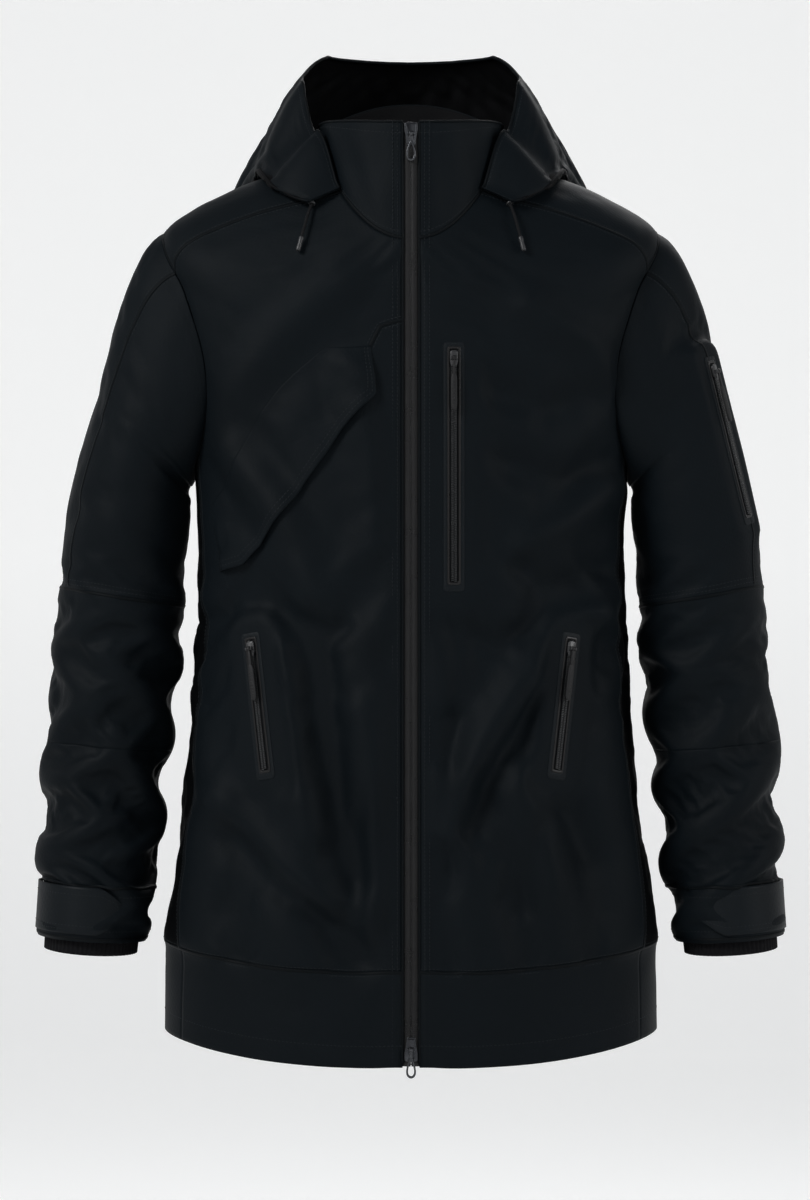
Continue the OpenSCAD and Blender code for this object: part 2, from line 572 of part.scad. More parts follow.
sleeve_zip_place() pocket_pull(0);  // sleeve_pull
powder_skirt();
hood_base();
hood_crown();
cord();  // hood_cord_left
left_and_right(-1) cord();  // hood_cord_right
union() { cord_tip(); left_and_right(-1) cord_tip(); }  // hood_cord_tips
union() { eyelet(); left_and_right(-1) eyelet(); }  // hood_eyelets
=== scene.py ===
import math

import bpy
import numpy as np
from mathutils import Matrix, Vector


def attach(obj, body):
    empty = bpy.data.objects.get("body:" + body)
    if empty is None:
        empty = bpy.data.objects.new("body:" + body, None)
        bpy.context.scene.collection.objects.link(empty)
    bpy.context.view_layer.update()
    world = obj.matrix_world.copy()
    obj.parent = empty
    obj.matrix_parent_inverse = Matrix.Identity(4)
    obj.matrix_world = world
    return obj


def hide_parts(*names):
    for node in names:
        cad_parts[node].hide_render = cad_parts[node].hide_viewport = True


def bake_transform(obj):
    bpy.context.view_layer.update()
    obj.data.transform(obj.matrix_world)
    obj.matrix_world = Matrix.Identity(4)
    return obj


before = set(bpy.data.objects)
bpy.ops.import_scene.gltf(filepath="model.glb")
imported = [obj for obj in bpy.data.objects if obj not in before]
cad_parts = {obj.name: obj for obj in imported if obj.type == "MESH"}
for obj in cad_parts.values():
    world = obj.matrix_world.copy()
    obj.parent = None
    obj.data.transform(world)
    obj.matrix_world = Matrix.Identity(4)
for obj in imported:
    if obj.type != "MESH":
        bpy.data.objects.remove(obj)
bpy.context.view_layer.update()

# ---------------------------------------------------------------- camera
# The view is level, straight at the chest, three metres in front of it.
REACH, CHEST_Y = 3.0, -0.1
VIEW_X, VIEW_Z, HALF_VIEW = -0.005, -0.378, 0.504
cam_data = bpy.data.cameras.new("camera")
cam_data.sensor_fit = "VERTICAL"
cam_data.angle = 2 * math.atan(HALF_VIEW / REACH)
cam = bpy.data.objects.new("camera", cam_data)
cam.location = (VIEW_X, CHEST_Y - REACH, VIEW_Z)
cam.rotation_euler = (math.radians(90), 0, 0)
bpy.context.scene.collection.objects.link(cam)
bpy.context.scene.camera = cam

# ---------------------------------------------------------------- surfaces, in mm as in the CAD
SIDES = ((1, "left"), (-1, "right"))
FRONT_Y0, FRONT_SLOPE = -98.0, 0.062
TILT = math.atan(FRONT_SLOPE)
# share of the way up, half width, z at the side, front and back, depth at the back, roundness
RINGS = np.array([
    [0.00, 212, -745, -765, -775, 136, 2.5],
    [0.10, 210, -669, -687, -691, 138, 2.5],
    [0.35, 194, -545, -548, -550, 126, 2.45],
    [0.52, 184, -425, -425, -425, 118, 2.4],
    [0.72, 187, -262, -268, -262, 134, 2.5],
    [0.82, 201, -168, -195, -170, 136, 2.7],
    [0.88, 211, -106, -152, -112, 126, 2.8],
    [0.93, 212, -60, -118, -64, 108, 2.7],
    [0.965, 152, -21, -96, -28, 92, 2.4],
    [1.00, 78, 4, -75, 0, 72, 2.2]], float)
# share of the way down, x, y, z, tilt, half width and half depth
ARM_START = 0.25
ARM = np.array([
    [0.25, 232, 0, -235, 45, 56, 70],
    [0.42, 247, 2, -315, 16, 54, 69],
    [0.52, 252, 5, -372, 9, 54, 67],
    [0.62, 257, 8, -432, 6, 55, 66],
    [0.74, 263, 3, -500, 5, 53, 62],
    [0.86, 268, -6, -570, 4, 50, 58],
    [0.93, 271, -13, -618, 4, 47.5, 56],
    [1.00, 275, -20, -668, 4, 46, 54]], float)
HEM_V, YOKE_BACK_V = 0.10, 0.86
GAP = 7.0   # from the middle of the zip to the cloth's edge
HOLE_A, HOLE_V, HOLE_DV = 34.0, 0.825, 0.105   # the armhole's half widths and centre on the body's chart


def smooth(tab, t):
    """Rows of a table, joined by the same cubic as in the CAD."""
    t = np.asarray(t, float)
    k = tab[:, 0]
    i = np.clip(np.searchsorted(k, t, side="right") - 1, 0, len(k) - 2)
    sl = np.empty_like(tab)
    sl[1:-1] = (tab[2:] - tab[:-2]) / (k[2:] - k[:-2])[:, None]
    sl[0] = (tab[1] - tab[0]) / (k[1] - k[0])
    sl[-1] = (tab[-1] - tab[-2]) / (k[-1] - k[-2])
    h = (k[i + 1] - k[i])
    u = ((t - k[i]) / h)[..., None]
    h = h[..., None]
    return ((2 * u**3 - 3 * u**2 + 1) * tab[i] + (u**3 - 2 * u**2 + u) * h * sl[i]
            + (3 * u**2 - 2 * u**3) * tab[i + 1] + (u**3 - u**2) * h * sl[i + 1])


def unit(v):
    v = np.asarray(v, float)
    return v / np.maximum(np.linalg.norm(v, axis=-1, keepdims=True), 1e-12)


def dots(a, b):
    return np.einsum("ijk,ijk->ij", a, b)


def floats(*values):
    return np.broadcast_arrays(*(np.asarray(v, float) for v in values))


def ease(u):
    u = np.clip(u, 0, 1)
    return u * u * (3 - 2 * u)


def lerp(a, b, u):
    return a + (b - a) * u


def front_y(z):
    return FRONT_Y0 + FRONT_SLOPE * z


def body(th, v):
    """The body's surface: th is the angle round it, v the share of the way up."""
    th, v = floats(th, v)
    r = smooth(RINGS, v)
    c, s = np.cos(np.radians(th)), np.sin(np.radians(th))
    e = 2 / r[..., 6]
    end = np.where(s < 0, r[..., 3], r[..., 4])
    depth = np.where(s < 0, front_y(r[..., 3]), r[..., 5])
    return np.stack([r[..., 1] * np.sign(c) * np.abs(c) ** e, depth * np.abs(s) ** e,
                     r[..., 2] + (end - r[..., 2]) * s * s], -1)


def body_n(th, v):
    th, v = floats(th, v)
    across = body(th + 0.5, v) - body(th - 0.5, v)
    return unit(np.cross(across, body(th, v + 0.004) - body(th, v - 0.004)))


def front_angle(v):
    """The angle of the front edge, which lies GAP from the middle."""
    r = smooth(RINGS, v)
    return -np.degrees(np.arccos((GAP / r[..., 1]) ** (r[..., 6] / 2)))


def armhole(ph):
    p = np.radians(ph)
    return -HOLE_A * np.sin(p), HOLE_V + HOLE_DV * np.cos(p)


def arm_ring(s, ph):
    r = smooth(ARM, s)
    p, t = np.radians(ph), np.radians(r[..., 4])
    wide = r[..., 5] * np.cos(p)
    return np.stack([r[..., 1] + wide * np.cos(t), r[..., 2] - r[..., 6] * np.sin(p),
                     r[..., 3] + wide * np.sin(t)], -1)


def sleeve(s, ph):
    """The sleeve's surface: s is the share of the way down, ph the angle round it."""
    s, ph = floats(s, ph)
    u = (s / ARM_START)[..., None]
    a = body(*armhole(ph))
    e = arm_ring(np.full_like(s, ARM_START), ph)
    c = np.cos(np.radians(ph))
    m = a + np.stack([17 + 15 * c, 0 * c, -6 + 6 * c], -1)
    shoulder = (1 - u)**2 * a + 2 * u * (1 - u) * m + u**2 * e
    return np.where(u >= 1, arm_ring(np.maximum(s, ARM_START), ph), shoulder)


# ---------------------------------------------------------------- where the zips lie
# A frame is an origin, the ways sideways, outwards and along, and whether it is mirrored to the right.
def zip_along(top, low, across, upwards, drop, lift, spare):
    """A zip's frame and length on the cloth between two points.

    across and upwards are two short steps over the cloth there. The origin lies drop mm
    below the top and lift mm out, and the zip is spare mm shorter than the line.
    """
    z = unit(top - low)
    out = unit(np.cross(across, upwards))
    out = unit(out - z * np.dot(out, z))
    x = unit(np.cross(z, out))
    at = top - z * drop + out * lift
    return (at, x, -np.cross(z, x), z, False), float(np.linalg.norm(top - low)) - spare


MAIN = (np.array([0, FRONT_Y0, 0.0]), np.array([1.0, 0, 0]), np.array([0, -math.cos(TILT), math.sin(TILT)]),
        np.array([0, math.sin(TILT), math.cos(TILT)]), False)
ZIP_TOP, ZIP_END = 25 / math.cos(TILT) - 1, -765 / math.cos(TILT) + 1
CHEST, CHEST_L = (MAIN[0] + MAIN[1] * 36 - MAIN[3] * 176,) + MAIN[1:], 188.0
HAND, HAND_L = zip_along(body(-47, 0.54), body(-55.5, 0.385), body(-50, 0.46) - body(-52, 0.46),
                         body(-51, 0.465) - body(-51, 0.455), drop=10, lift=3.0, spare=14)
UPPER, UPPER_L = zip_along(sleeve(0.215, 42), sleeve(0.43, 42), sleeve(0.33, 44) - sleeve(0.33, 40),
                           sleeve(0.334, 42) - sleeve(0.326, 42), drop=8, lift=3.5, spare=12)


def on_side(f, side):
    """The same frame on the wearer's left, 1, or mirrored to the right, -1."""
    return f[:4] + (side < 0,)


def hug(p, f, length, top):
    """How much the cloth belongs to a zip, and how far out it must come to meet it."""
    q = p * [-1, 1, 1] if f[4] else p
    d = q - f[0]
    x, o, z = d @ f[1], d @ f[2], d @ f[3]
    aside = np.maximum(np.abs(x) - 10.5, 0)
    beyond = np.maximum(np.maximum(z - 15, -length - 9.5 - z), 0)
    return (1 - ease(np.hypot(aside, beyond) / 24)) * (np.abs(o) < 30), top - o


# ---------------------------------------------------------------- cloth
def drape(base, free, more_u, more_v, start, low, high, steps, pull, sag, bend=0.5, closed=False):
    """Relaxes cloth that is longer than the form it lies on, so that it buckles.

    base is a grid of points, free how freely each moves, more_u and more_v the extra
    length along a row and up a column, start the first height of each point, and low
    and high how far it may go from the form. Each step pulls it back by the share pull,
    and lowers it by sag mm; bend is how stiffly it keeps to longer distances.
    """
    f = np.float32
    base = base.astype(f)
    gu = (np.roll(base, -1, 1) - np.roll(base, 1, 1)) if closed else np.gradient(base, axis=1)
    n = unit(np.cross(gu, np.gradient(base, axis=0))).astype(f)
    x = base + n * start[..., None].astype(f)
    w = free.astype(f)[..., None]

    def pair(k, in_row):
        if in_row:
            return (slice(None), slice(None, -k)), (slice(None), slice(k, None))
        return (slice(None, -k), slice(None)), (slice(k, None), slice(None))

    sets = []
    for k, stiff in ((1, 1.0), (2, bend), (4, bend * 0.5)):
        for in_row, more in ((True, more_u), (False, more_v)):
            if in_row and closed:
                d = np.linalg.norm(np.roll(base, -k, 1) - base, axis=-1)
                sets.append(("roll", k, d, more, stiff))
            else:
                a, b = pair(k, in_row)
                d = np.linalg.norm(base[b] - base[a], axis=-1)
                sets.append((a, b, d, more[a], stiff))
    for flip in (False, True):
        a = (slice(None, -1), slice(1, None) if flip else slice(None, -1))
        b = (slice(1, None), slice(None, -1) if flip else slice(1, None))
        d = np.linalg.norm(base[b] - base[a], axis=-1)
        sets.append((a, b, d, (more_u[a] + more_v[a]) / 2, 0.35))
    sets = [(a, b, d.astype(f), more.astype(f), stiff) for a, b, d, more, stiff in sets]
    low, high = low.astype(f), high.astype(f)
    down = np.array([0, 0, -sag], f)
    for i in range(steps):
        ramp = f(min(1.0, (i + 1) / (0.6 * steps)))
        for a, b, d, more, stiff in sets:
            rest = d * (1 + more * ramp)
            if isinstance(a, str):
                q, wq = np.roll(x, -b, 1), np.roll(w, -b, 1)
                e = q - x
            else:
                q, wq = x[b], w[b]
                e = q - x[a]
            wp = w if isinstance(a, str) else w[a]
            ln = np.sqrt(dots(e, e)) + 1e-6
            c = e * ((ln - rest) / ln * (0.5 * stiff))[..., None]
            if isinstance(a, str):
                x += wp * c * 0.5
                x -= np.roll(wq * c, b, 1) * 0.5
            else:
                x[a] += wp * c * 0.5
                x[b] -= wq * c * 0.5
        h = dots(x - base, n)
        fix = np.clip(h * (1 - pull), low, high) - h
        x += n * fix[..., None] * w + down * w
    return (x - base).astype(float)


def lines_height(p, strokes):
    """Ridges and valleys along lines in the front view: points, height and width in mm."""
    out = np.zeros(p.shape[:-1])
    xz = p[..., [0, 2]]
    for pts, h, wd in strokes:
        best = np.full(out.shape, 1e9)
        pts = np.array(pts, float)
        for a, b in zip(pts[:-1], pts[1:]):
            ab = b - a
            t = np.clip(((xz - a) @ ab) / (ab @ ab), 0, 1)
            q = xz - a - t[..., None] * ab
            best = np.minimum(best, np.hypot(q[..., 0], q[..., 1]))
        out += h * np.exp(-((best / wd) ** 2))
    return out


def mix4(g, i, j, u, v):
    """A value between four neighbours of a grid."""
    return (g[i, j] * (1 - u) + g[i + 1, j] * u) * (1 - v) + (g[i, j + 1] * (1 - u) + g[i + 1, j + 1] * u) * v


def noise2(shape, cell, seed, closed=False):
    """Smooth seeded noise on a grid, about one bump every cell points."""
    rng = np.random.default_rng(seed)
    r, c = shape
    nr, nc = max(3, int(r / cell[0]) + 3), max(3, int(c / cell[1]) + 3)
    g = rng.standard_normal((nr, nc))
    if closed:
        g[:, -1] = g[:, 0]
    ri = np.linspace(0, nr - 1.001, r)[:, None]
    ci = np.linspace(0, nc - 1.001, c)[None]
    i, j = ri.astype(int), ci.astype(int)
    return mix4(g, i, j, ease(ri - i), ease(ci - j))


def resize(a, r, c, closed=False):
    """A grid of vectors sampled again at r by c points."""
    ri = np.linspace(0, a.shape[0] - 1, r)
    if closed:
        a = np.concatenate([a, a[:, :1]], 1)
        ci = np.arange(c) * (a.shape[1] - 1) / c
    else:
        ci = np.linspace(0, a.shape[1] - 1, c)
    i = np.minimum(ri.astype(int), a.shape[0] - 2)[:, None]
    j = np.minimum(ci.astype(int), a.shape[1] - 2)[None]
    return mix4(a, i, j, (ri[:, None] - i)[..., None], (ci[None] - j)[..., None])


# ---------------------------------------------------------------- the body's cloth
def along(points):
    d = np.linalg.norm(np.diff(points, axis=0), axis=1)
    return np.concatenate([[0], np.cumsum(d)])


ROWS_V = np.linspace(0, 1, 801)
ROWS_L = along(body(np.full(801, -45.0), ROWS_V))
EDGE_T = 87.8   # the front edge lies this many degrees from the wearer's left side
COLS_T = np.linspace(-EDGE_T, 180 + EDGE_T, 1601)
COLS_L = along(body(COLS_T, np.full(1601, 0.6)))


def hole_distance(th, v):
    """How far from the armhole seam, as a share of its half width; below 0 is inside."""
    a = np.minimum(np.abs(th), np.abs(th - 180))
    return np.hypot(a / HOLE_A, (v - HOLE_V) / HOLE_DV) - 1


# Each fold: points (x, z) in the front view, height, below 0 for a valley, and half width.
FOLDS = [
    ([(-84, -400), (-74, -480), (-60, -560), (-46, -610)], -9, 15),
    ([(-112, -420), (-98, -500), (-82, -570)], 8, 16),
    ([(-150, -575), (-100, -620), (-46, -668)], -8, 13),
    ([(-158, -545), (-118, -590), (-72, -625)], 8, 14),
    ([(-40, -470), (-28, -560), (-24, -640)], 6, 15),
    ([(160, -388), (121, -423), (89, -453), (61, -498), (43, -534), (34, -570)], 10, 12),
    ([(150, -412), (118, -448), (88, -480), (62, -525), (52, -565)], -8, 13),
    ([(39, -475), (32, -540), (25, -601)], -6, 10),
    ([(108, -500), (128, -543), (150, -589)], -7, 12),
    ([(84, -520), (104, -575), (118, -620)], 7, 14),
    ([(105, -566), (93, -635)], -5, 9),
    ([(-60, -110), (-110, -150), (-150, -200)], 4, 18),
    ([(-150, -250), (-120, -290), (-90, -345), (-80, -390)], 6, 16),
    ([(70, -200), (110, -215), (155, -205)], -5, 14),
    ([(165, -260), (128, -275), (84, -262)], -6, 13),
    ([(170, -285), (130, -310), (96, -330)], 6, 13),
    ([(95, -350), (120, -368), (165, -350)], -6, 13),
    ([(-172, -395), (-140, -385), (-60, -398)], -5, 14),
    ([(20, -400), (70, -412), (110, -395)], -5, 14),
    ([(-50, -180), (-36, -250), (-30, -330)], 4, 13),
    ([(100, -130), (150, -160), (185, -215)], 6, 14),
]
BACK_FOLDS = [
    ([(-150, -260), (-90, -330), (-20, -350)], 8, 18),
    ([(160, -270), (95, -345), (10, -380)], 8, 18),
    ([(-165, -380), (-60, -410), (80, -400), (170, -370)], -9, 17),
    ([(-160, -430), (-70, -450), (60, -445), (165, -420)], 9, 18),
    ([(-150, -480), (-80, -560), (-50, -650)], 8, 18),
    ([(150, -470), (85, -560), (60, -650)], -8, 18),
    ([(20, -460), (-5, -560), (10, -650)], 7, 18),
    ([(-120, -150), (-60, -210), (0, -225), (70, -205), (125, -150)], -6, 18),
]


FOLD_START, FOLD_SHARE = 1.25, 0.95   # of the listed folds' height, before and after the cloth has buckled


def bell(x, at, wide):
    return np.exp(-(((x - at) / wide) ** 2))


def body_cloth():
    coarse = None
    for r, c, steps in ((90, 116, 420), (220, 290, 150)):
        th = np.interp(np.linspace(0, 1, c), COLS_L / COLS_L[-1], COLS_T)[None] + np.zeros((r, 1))
        v = np.interp(np.linspace(0, 1, r), ROWS_L / ROWS_L[-1], ROWS_V)[:, None] + np.zeros((1, c))
        p = body(th, v)
        z = p[..., 2]
        front = p[..., 1] < 0
        # the cloth is held at the zip, the neck and the armholes, and less free in the hem
        free = ease(np.minimum(th + EDGE_T, 180 + EDGE_T - th) / 4.0) * ease((1 - v) / 0.012)
        free = free * ease(hole_distance(th, v) / 0.22)
        free *= 1 - 0.5 * ease(1 - np.abs(v - HEM_V) / 0.012)
        free *= 1 - 0.45 * (v < HEM_V)
        near, meet = np.zeros((r, c)), np.zeros((r, c))
        zips = (CHEST, CHEST_L, 0.1), (HAND, HAND_L, -0.2), (on_side(HAND, -1), HAND_L, -0.2)
        for f, length, top in zips:
            w, h = hug(p, f, length, top)
            w = w * front
            meet = np.where(w > near, h, meet)
            near = np.maximum(near, w)
        free *= 1 - ease(near * 1.25)
        # extra length up the waist and belly, and round the lower half
        lower = ease((-330 - z) / 160)
        more_v = 0.006 + 0.024 * bell(z, -400, 70) + 0.008 * bell(z, -560, 120)
        more_u = 0.010 + 0.048 * lower + 0.014 * bell(z, -230, 80) * (1 - front * 0.4)
        more_u = np.where(v < HEM_V, 0.006, more_u)
        folds = lines_height(p, FOLDS) * front + lines_height(p, BACK_FOLDS) * (p[..., 1] > 0)
        if coarse is None:
            start = 2.0 * noise2((r, c), (r / 5, c / 22), 11) + 0.8 * noise2((r, c), (r / 10, c / 40), 12)
            start = (start * (0.25 + 0.75 * lower) + FOLD_START * folds) * free
        else:
            n = body_n(th, v)
            start = dots(resize(coarse, r, c), n) + 0.25 * noise2((r, c), (5, 5), 13) * free
        start = start * (1 - near) + meet * near
        # near the zip the cloth stays in front of the storm flap
        low = np.where(front, lerp(-0.8, -9.0, ease((np.abs(p[..., 0]) - 20) / 24)), -9.0)
        high = np.full((r, c), 13.0)
        coarse = drape(p, free, more_u, more_v, start, low, high, steps=steps, pull=0.002, sag=0.01, bend=0.8)
    h = dots(coarse, n)
    set_in = FOLD_SHARE * folds * free * (1 - near)
    return coarse + n * (np.clip(h + set_in, low, high) - h)[..., None]


BODY_D = body_cloth()


def sample(grid, ri, ci):
    ri = np.clip(ri, 0, grid.shape[0] - 1.0001)
    ci = np.clip(ci, 0, grid.shape[1] - 1.0001)
    i, j = ri.astype(int), ci.astype(int)
    return mix4(grid, i, j, (ri - i)[..., None], (ci - j)[..., None])


def torso(th, v):
    """The body's cloth with its folds."""
    th, v = floats(th, v)
    w = np.interp(v, ROWS_V, ROWS_L / ROWS_L[-1]) * (BODY_D.shape[0] - 1)
    t = np.interp(th, COLS_T, COLS_L / COLS_L[-1]) * (BODY_D.shape[1] - 1)
    return body(th, v) + sample(BODY_D, w, t)


def torso_n(th, v):
    th, v = floats(th, v)
    across = torso(th + 0.6, v) - torso(th - 0.6, v)
    return unit(np.cross(across, torso(th, v + 0.004) - torso(th, v - 0.004)))


# ---------------------------------------------------------------- the sleeves' cloth
ARM_S = np.linspace(0, 1, 401)
ARM_L = along(sleeve(ARM_S, np.full(401, 60.0)))


def arm_cloth(seed, strokes, has_zip):
    coarse = None
    for r, c, steps in ((74, 48, 420), (180, 120, 130)):
        s = np.interp(np.linspace(0, 1, r), ARM_L / ARM_L[-1], ARM_S)[:, None] + np.zeros((1, c))
        ph = (np.arange(c) * 360 / c)[None] + np.zeros((r, 1))
        p = sleeve(s, ph)
        free = ease(s / 0.035) * ease((1 - s) / 0.07) * (1 - 0.6 * ease(1 - np.abs(s - 0.52) / 0.012))
        near, meet = hug(p, UPPER, UPPER_L, -0.2)
        near = near * has_zip
        free = free * (1 - ease(near * 1.25))
        # extra length inside the elbow, all down the forearm, and under the shoulder
        inner = 0.5 + 0.5 * np.cos(np.radians(ph - 150))
        more_v = 0.006 + 0.065 * bell(s, 0.60, 0.08) * (0.6 + 0.8 * inner)
        more_v = more_v + 0.085 * ease((s - 0.70) / 0.1) * ease((0.965 - s) / 0.04)
        more_v = more_v + 0.03 * bell(s, 0.18, 0.1) * inner
        more_u = 0.006 + 0.02 * ease((s - 0.48) / 0.2)
        if coarse is None:
            start = 2.0 * noise2((r, c), (r / 14, c / 6), seed, True)
            start = start + 0.8 * noise2((r, c), (r / 26, c / 11), seed + 1, True)
            start = start * (0.3 + 0.7 * ease((s - 0.42) / 0.12))
            for s0, p0, dp, slant, h, wd in strokes:
                off = ((ph - p0 + 180) % 360) - 180
                across = (s - s0 - slant * off / 100) / wd
                start += h * np.exp(-(across**2)) * np.exp(-((off / dp) ** 4))
            start = start * free
        else:
            d = resize(coarse, r, c, True)
            n = unit(np.cross(np.roll(p, -1, 1) - np.roll(p, 1, 1), np.gradient(p, axis=0)))
            start = dots(d, n) + 0.25 * noise2((r, c), (5, 5), seed + 2, True) * free
        start = start * (1 - near) + meet * near
        low, high = lerp(-8.0, -3.4, ease((s - 0.80) / 0.07)), np.full((r, c), 12.0)
        coarse = drape(p, free, more_u, more_v, start, low, high, steps=steps, pull=0.002, sag=0.03,
                       closed=True)
    return coarse


# share of the length, angle, half spread, slant, height and half width
LEFT_FOLDS = [
    (0.555, 90, 120, 0.02, 9, 0.022), (0.60, 60, 80, -0.03, -7, 0.02), (0.66, 120, 90, 0.04, 8, 0.02),
    (0.72, 60, 90, -0.03, -7, 0.018), (0.77, 90, 120, 0.03, 8, 0.018), (0.83, 60, 110, -0.02, -7, 0.016),
    (0.875, 90, 120, 0.02, 8, 0.016), (0.915, 60, 120, 0.01, -6, 0.014), (0.20, 130, 50, 0.10, 6, 0.03),
    (0.30, 120, 50, 0.12, -6, 0.03), (0.42, 70, 60, 0.10, 5, 0.03), (0.48, 120, 70, -0.06, -5, 0.025)]
RIGHT_FOLDS = [
    (0.57, 80, 110, -0.03, 9, 0.022), (0.62, 110, 90, 0.03, -7, 0.02), (0.68, 70, 90, -0.02, 8, 0.02),
    (0.735, 100, 90, 0.03, -7, 0.018), (0.79, 60, 110, -0.03, 8, 0.018), (0.845, 100, 110, 0.02, -7, 0.016),
    (0.89, 80, 120, -0.02, 7, 0.015), (0.25, 130, 60, 0.12, 6, 0.03), (0.36, 80, 60, -0.10, -6, 0.03),
    (0.45, 110, 60, 0.08, 5, 0.025)]
ARM_D = {1: arm_cloth(21, LEFT_FOLDS, True), -1: arm_cloth(31, RIGHT_FOLDS, False)}


def arm(side, s, ph):
    """The sleeve's cloth with its folds; side is 1 for the wearer's left and -1 for the right."""
    s, ph = floats(s, ph)
    d = ARM_D[side]
    d = np.concatenate([d, d[:, :1]], 1)
    r = np.interp(s, ARM_S, ARM_L / ARM_L[-1]) * (d.shape[0] - 1)
    return (sleeve(s, ph) + sample(d, r, (ph % 360) / 360 * (d.shape[1] - 1))) * [side, 1, 1]


# ---------------------------------------------------------------- materials
def material(name, colour, rough=0.6, metal=0.0, specular=0.4, sheen=0.0, coat=0.0):
    m = bpy.data.materials.new(name)
    m.use_nodes = True
    nt = m.node_tree
    b = nt.nodes["Principled BSDF"]
    b.inputs["Base Color"].default_value = (*colour, 1)
    b.inputs["Roughness"].default_value = rough
    b.inputs["Metallic"].default_value = metal
    b.inputs["Specular IOR Level"].default_value = specular
    b.inputs["Sheen Weight"].default_value = sheen
    b.inputs["Sheen Roughness"].default_value = 0.4
    b.inputs["Coat Weight"].default_value = coat
    return m, nt, b


def node(nt, kind, **values):
    n = nt.nodes.new(kind)
    for k, v in values.items():
        if k in n.inputs:
            n.inputs[k].default_value = v
        else:
            setattr(n, k, v)
    return n


def wire(nt, *pairs):
    for a, b in pairs:
        nt.links.new(a, b)


def mixed(nt, b, colour, shift, factor):
    """Base colour from 1 / shift to shift times the colour, by a factor socket."""
    m = node(nt, "ShaderNodeMix", data_type="RGBA")
    m.inputs[6].default_value = (*(c / shift for c in colour), 1)
    m.inputs[7].default_value = (*(c * shift for c in colour), 1)
    wire(nt, (factor, m.inputs[0]), (m.outputs[2], b.inputs["Base Color"]))


def ranged(nt, socket, low, high):
    n = node(nt, "ShaderNodeMapRange")
    n.inputs["To Min"].default_value = low
    n.inputs["To Max"].default_value = high
    wire(nt, (socket, n.inputs["Value"]))
    return n.outputs["Result"]


SHIFT = 1.35   # cloth colours run from 1 / SHIFT to SHIFT times the stated one
WAVE = 1000.0 * 0.3142 / 2 / math.pi   # a wave texture's scale for one thread each millimetre


def fabric(name, colour, thread=0.7, rough=0.62, specular=0.055, sheen=0.004, weave=0.25, crumple=0.12,
           twill=True):
    """Woven cloth: threads of that width in mm along the piece's cut, and a laminate's small creases."""
    m, nt, b = material(name, colour, rough, specular=specular, sheen=sheen)
    uv = node(nt, "ShaderNodeUVMap", uv_map="cut")
    turn = node(nt, "ShaderNodeMapping")
    turn.inputs["Rotation"].default_value = (0, 0, math.radians(32 if twill else 0))
    wire(nt, (uv.outputs[0], turn.inputs[0]))
    warp = node(nt, "ShaderNodeTexWave", wave_type="BANDS", bands_direction="X")
    weft = node(nt, "ShaderNodeTexWave", wave_type="BANDS", bands_direction="Y")
    for w in (warp, weft):
        w.inputs["Scale"].default_value = WAVE / thread
        wire(nt, (turn.outputs[0], w.inputs["Vector"]))
    both = node(nt, "ShaderNodeMath", operation="MAXIMUM" if twill else "MULTIPLY")
    wire(nt, (warp.outputs["Fac"], both.inputs[0]), (weft.outputs["Fac"], both.inputs[1]))
    place = node(nt, "ShaderNodeTexCoord")
    tone = node(nt, "ShaderNodeTexNoise", Scale=9.0, Detail=4.0, Roughness=0.6)
    fine = node(nt, "ShaderNodeTexNoise", Scale=900.0, Detail=2.0)
    crease = node(nt, "ShaderNodeTexNoise", Scale=34.0, Detail=5.0, Roughness=0.62, Distortion=1.1)
    for t in (tone, fine, crease):
        wire(nt, (place.outputs["Object"], t.inputs["Vector"]))
    add = node(nt, "ShaderNodeMath", operation="ADD")
    speckle = ranged(nt, fine.outputs["Fac"], -0.25, 0.25)
    wire(nt, (tone.outputs["Fac"], add.inputs[0]), (speckle, add.inputs[1]))
    mixed(nt, b, colour, SHIFT, add.outputs[0])
    wire(nt, (ranged(nt, tone.outputs["Fac"], rough - 0.07, rough + 0.07), b.inputs["Roughness"]))
    bump1 = node(nt, "ShaderNodeBump", Strength=crumple, Distance=0.0022)
    bump2 = node(nt, "ShaderNodeBump", Strength=weave, Distance=0.0002)
    wire(nt, (crease.outputs["Fac"], bump1.inputs["Height"]), (both.outputs[0], bump2.inputs["Height"]),
         (bump1.outputs[0], bump2.inputs["Normal"]), (bump2.outputs[0], b.inputs["Normal"]))
    return m


def hard(name, colour, rough=0.4, metal=0.0, specular=0.5, grain=220, depth=0.15, wear=1.5, coat=0.0):
    """Moulded plastic or metal, with a fine grain and lighter, smoother worn spots."""
    m, nt, b = material(name, colour, rough, metal, specular, coat=coat)
    place = node(nt, "ShaderNodeTexCoord")
    spots = node(nt, "ShaderNodeTexNoise", Scale=60.0, Detail=4.0, Roughness=0.65)
    fine = node(nt, "ShaderNodeTexNoise", Scale=grain * 6, Detail=2.0)
    for t in (spots, fine):
        wire(nt, (place.outputs["Object"], t.inputs["Vector"]))
    mixed(nt, b, colour, wear, spots.outputs["Fac"])
    wire(nt, (ranged(nt, spots.outputs["Fac"], max(0.05, rough - 0.12), rough + 0.12), b.inputs["Roughness"]))
    bump = node(nt, "ShaderNodeBump", Strength=depth, Distance=0.0003)
    wire(nt, (fine.outputs["Fac"], bump.inputs["Height"]), (bump.outputs[0], b.inputs["Normal"]))
    return m


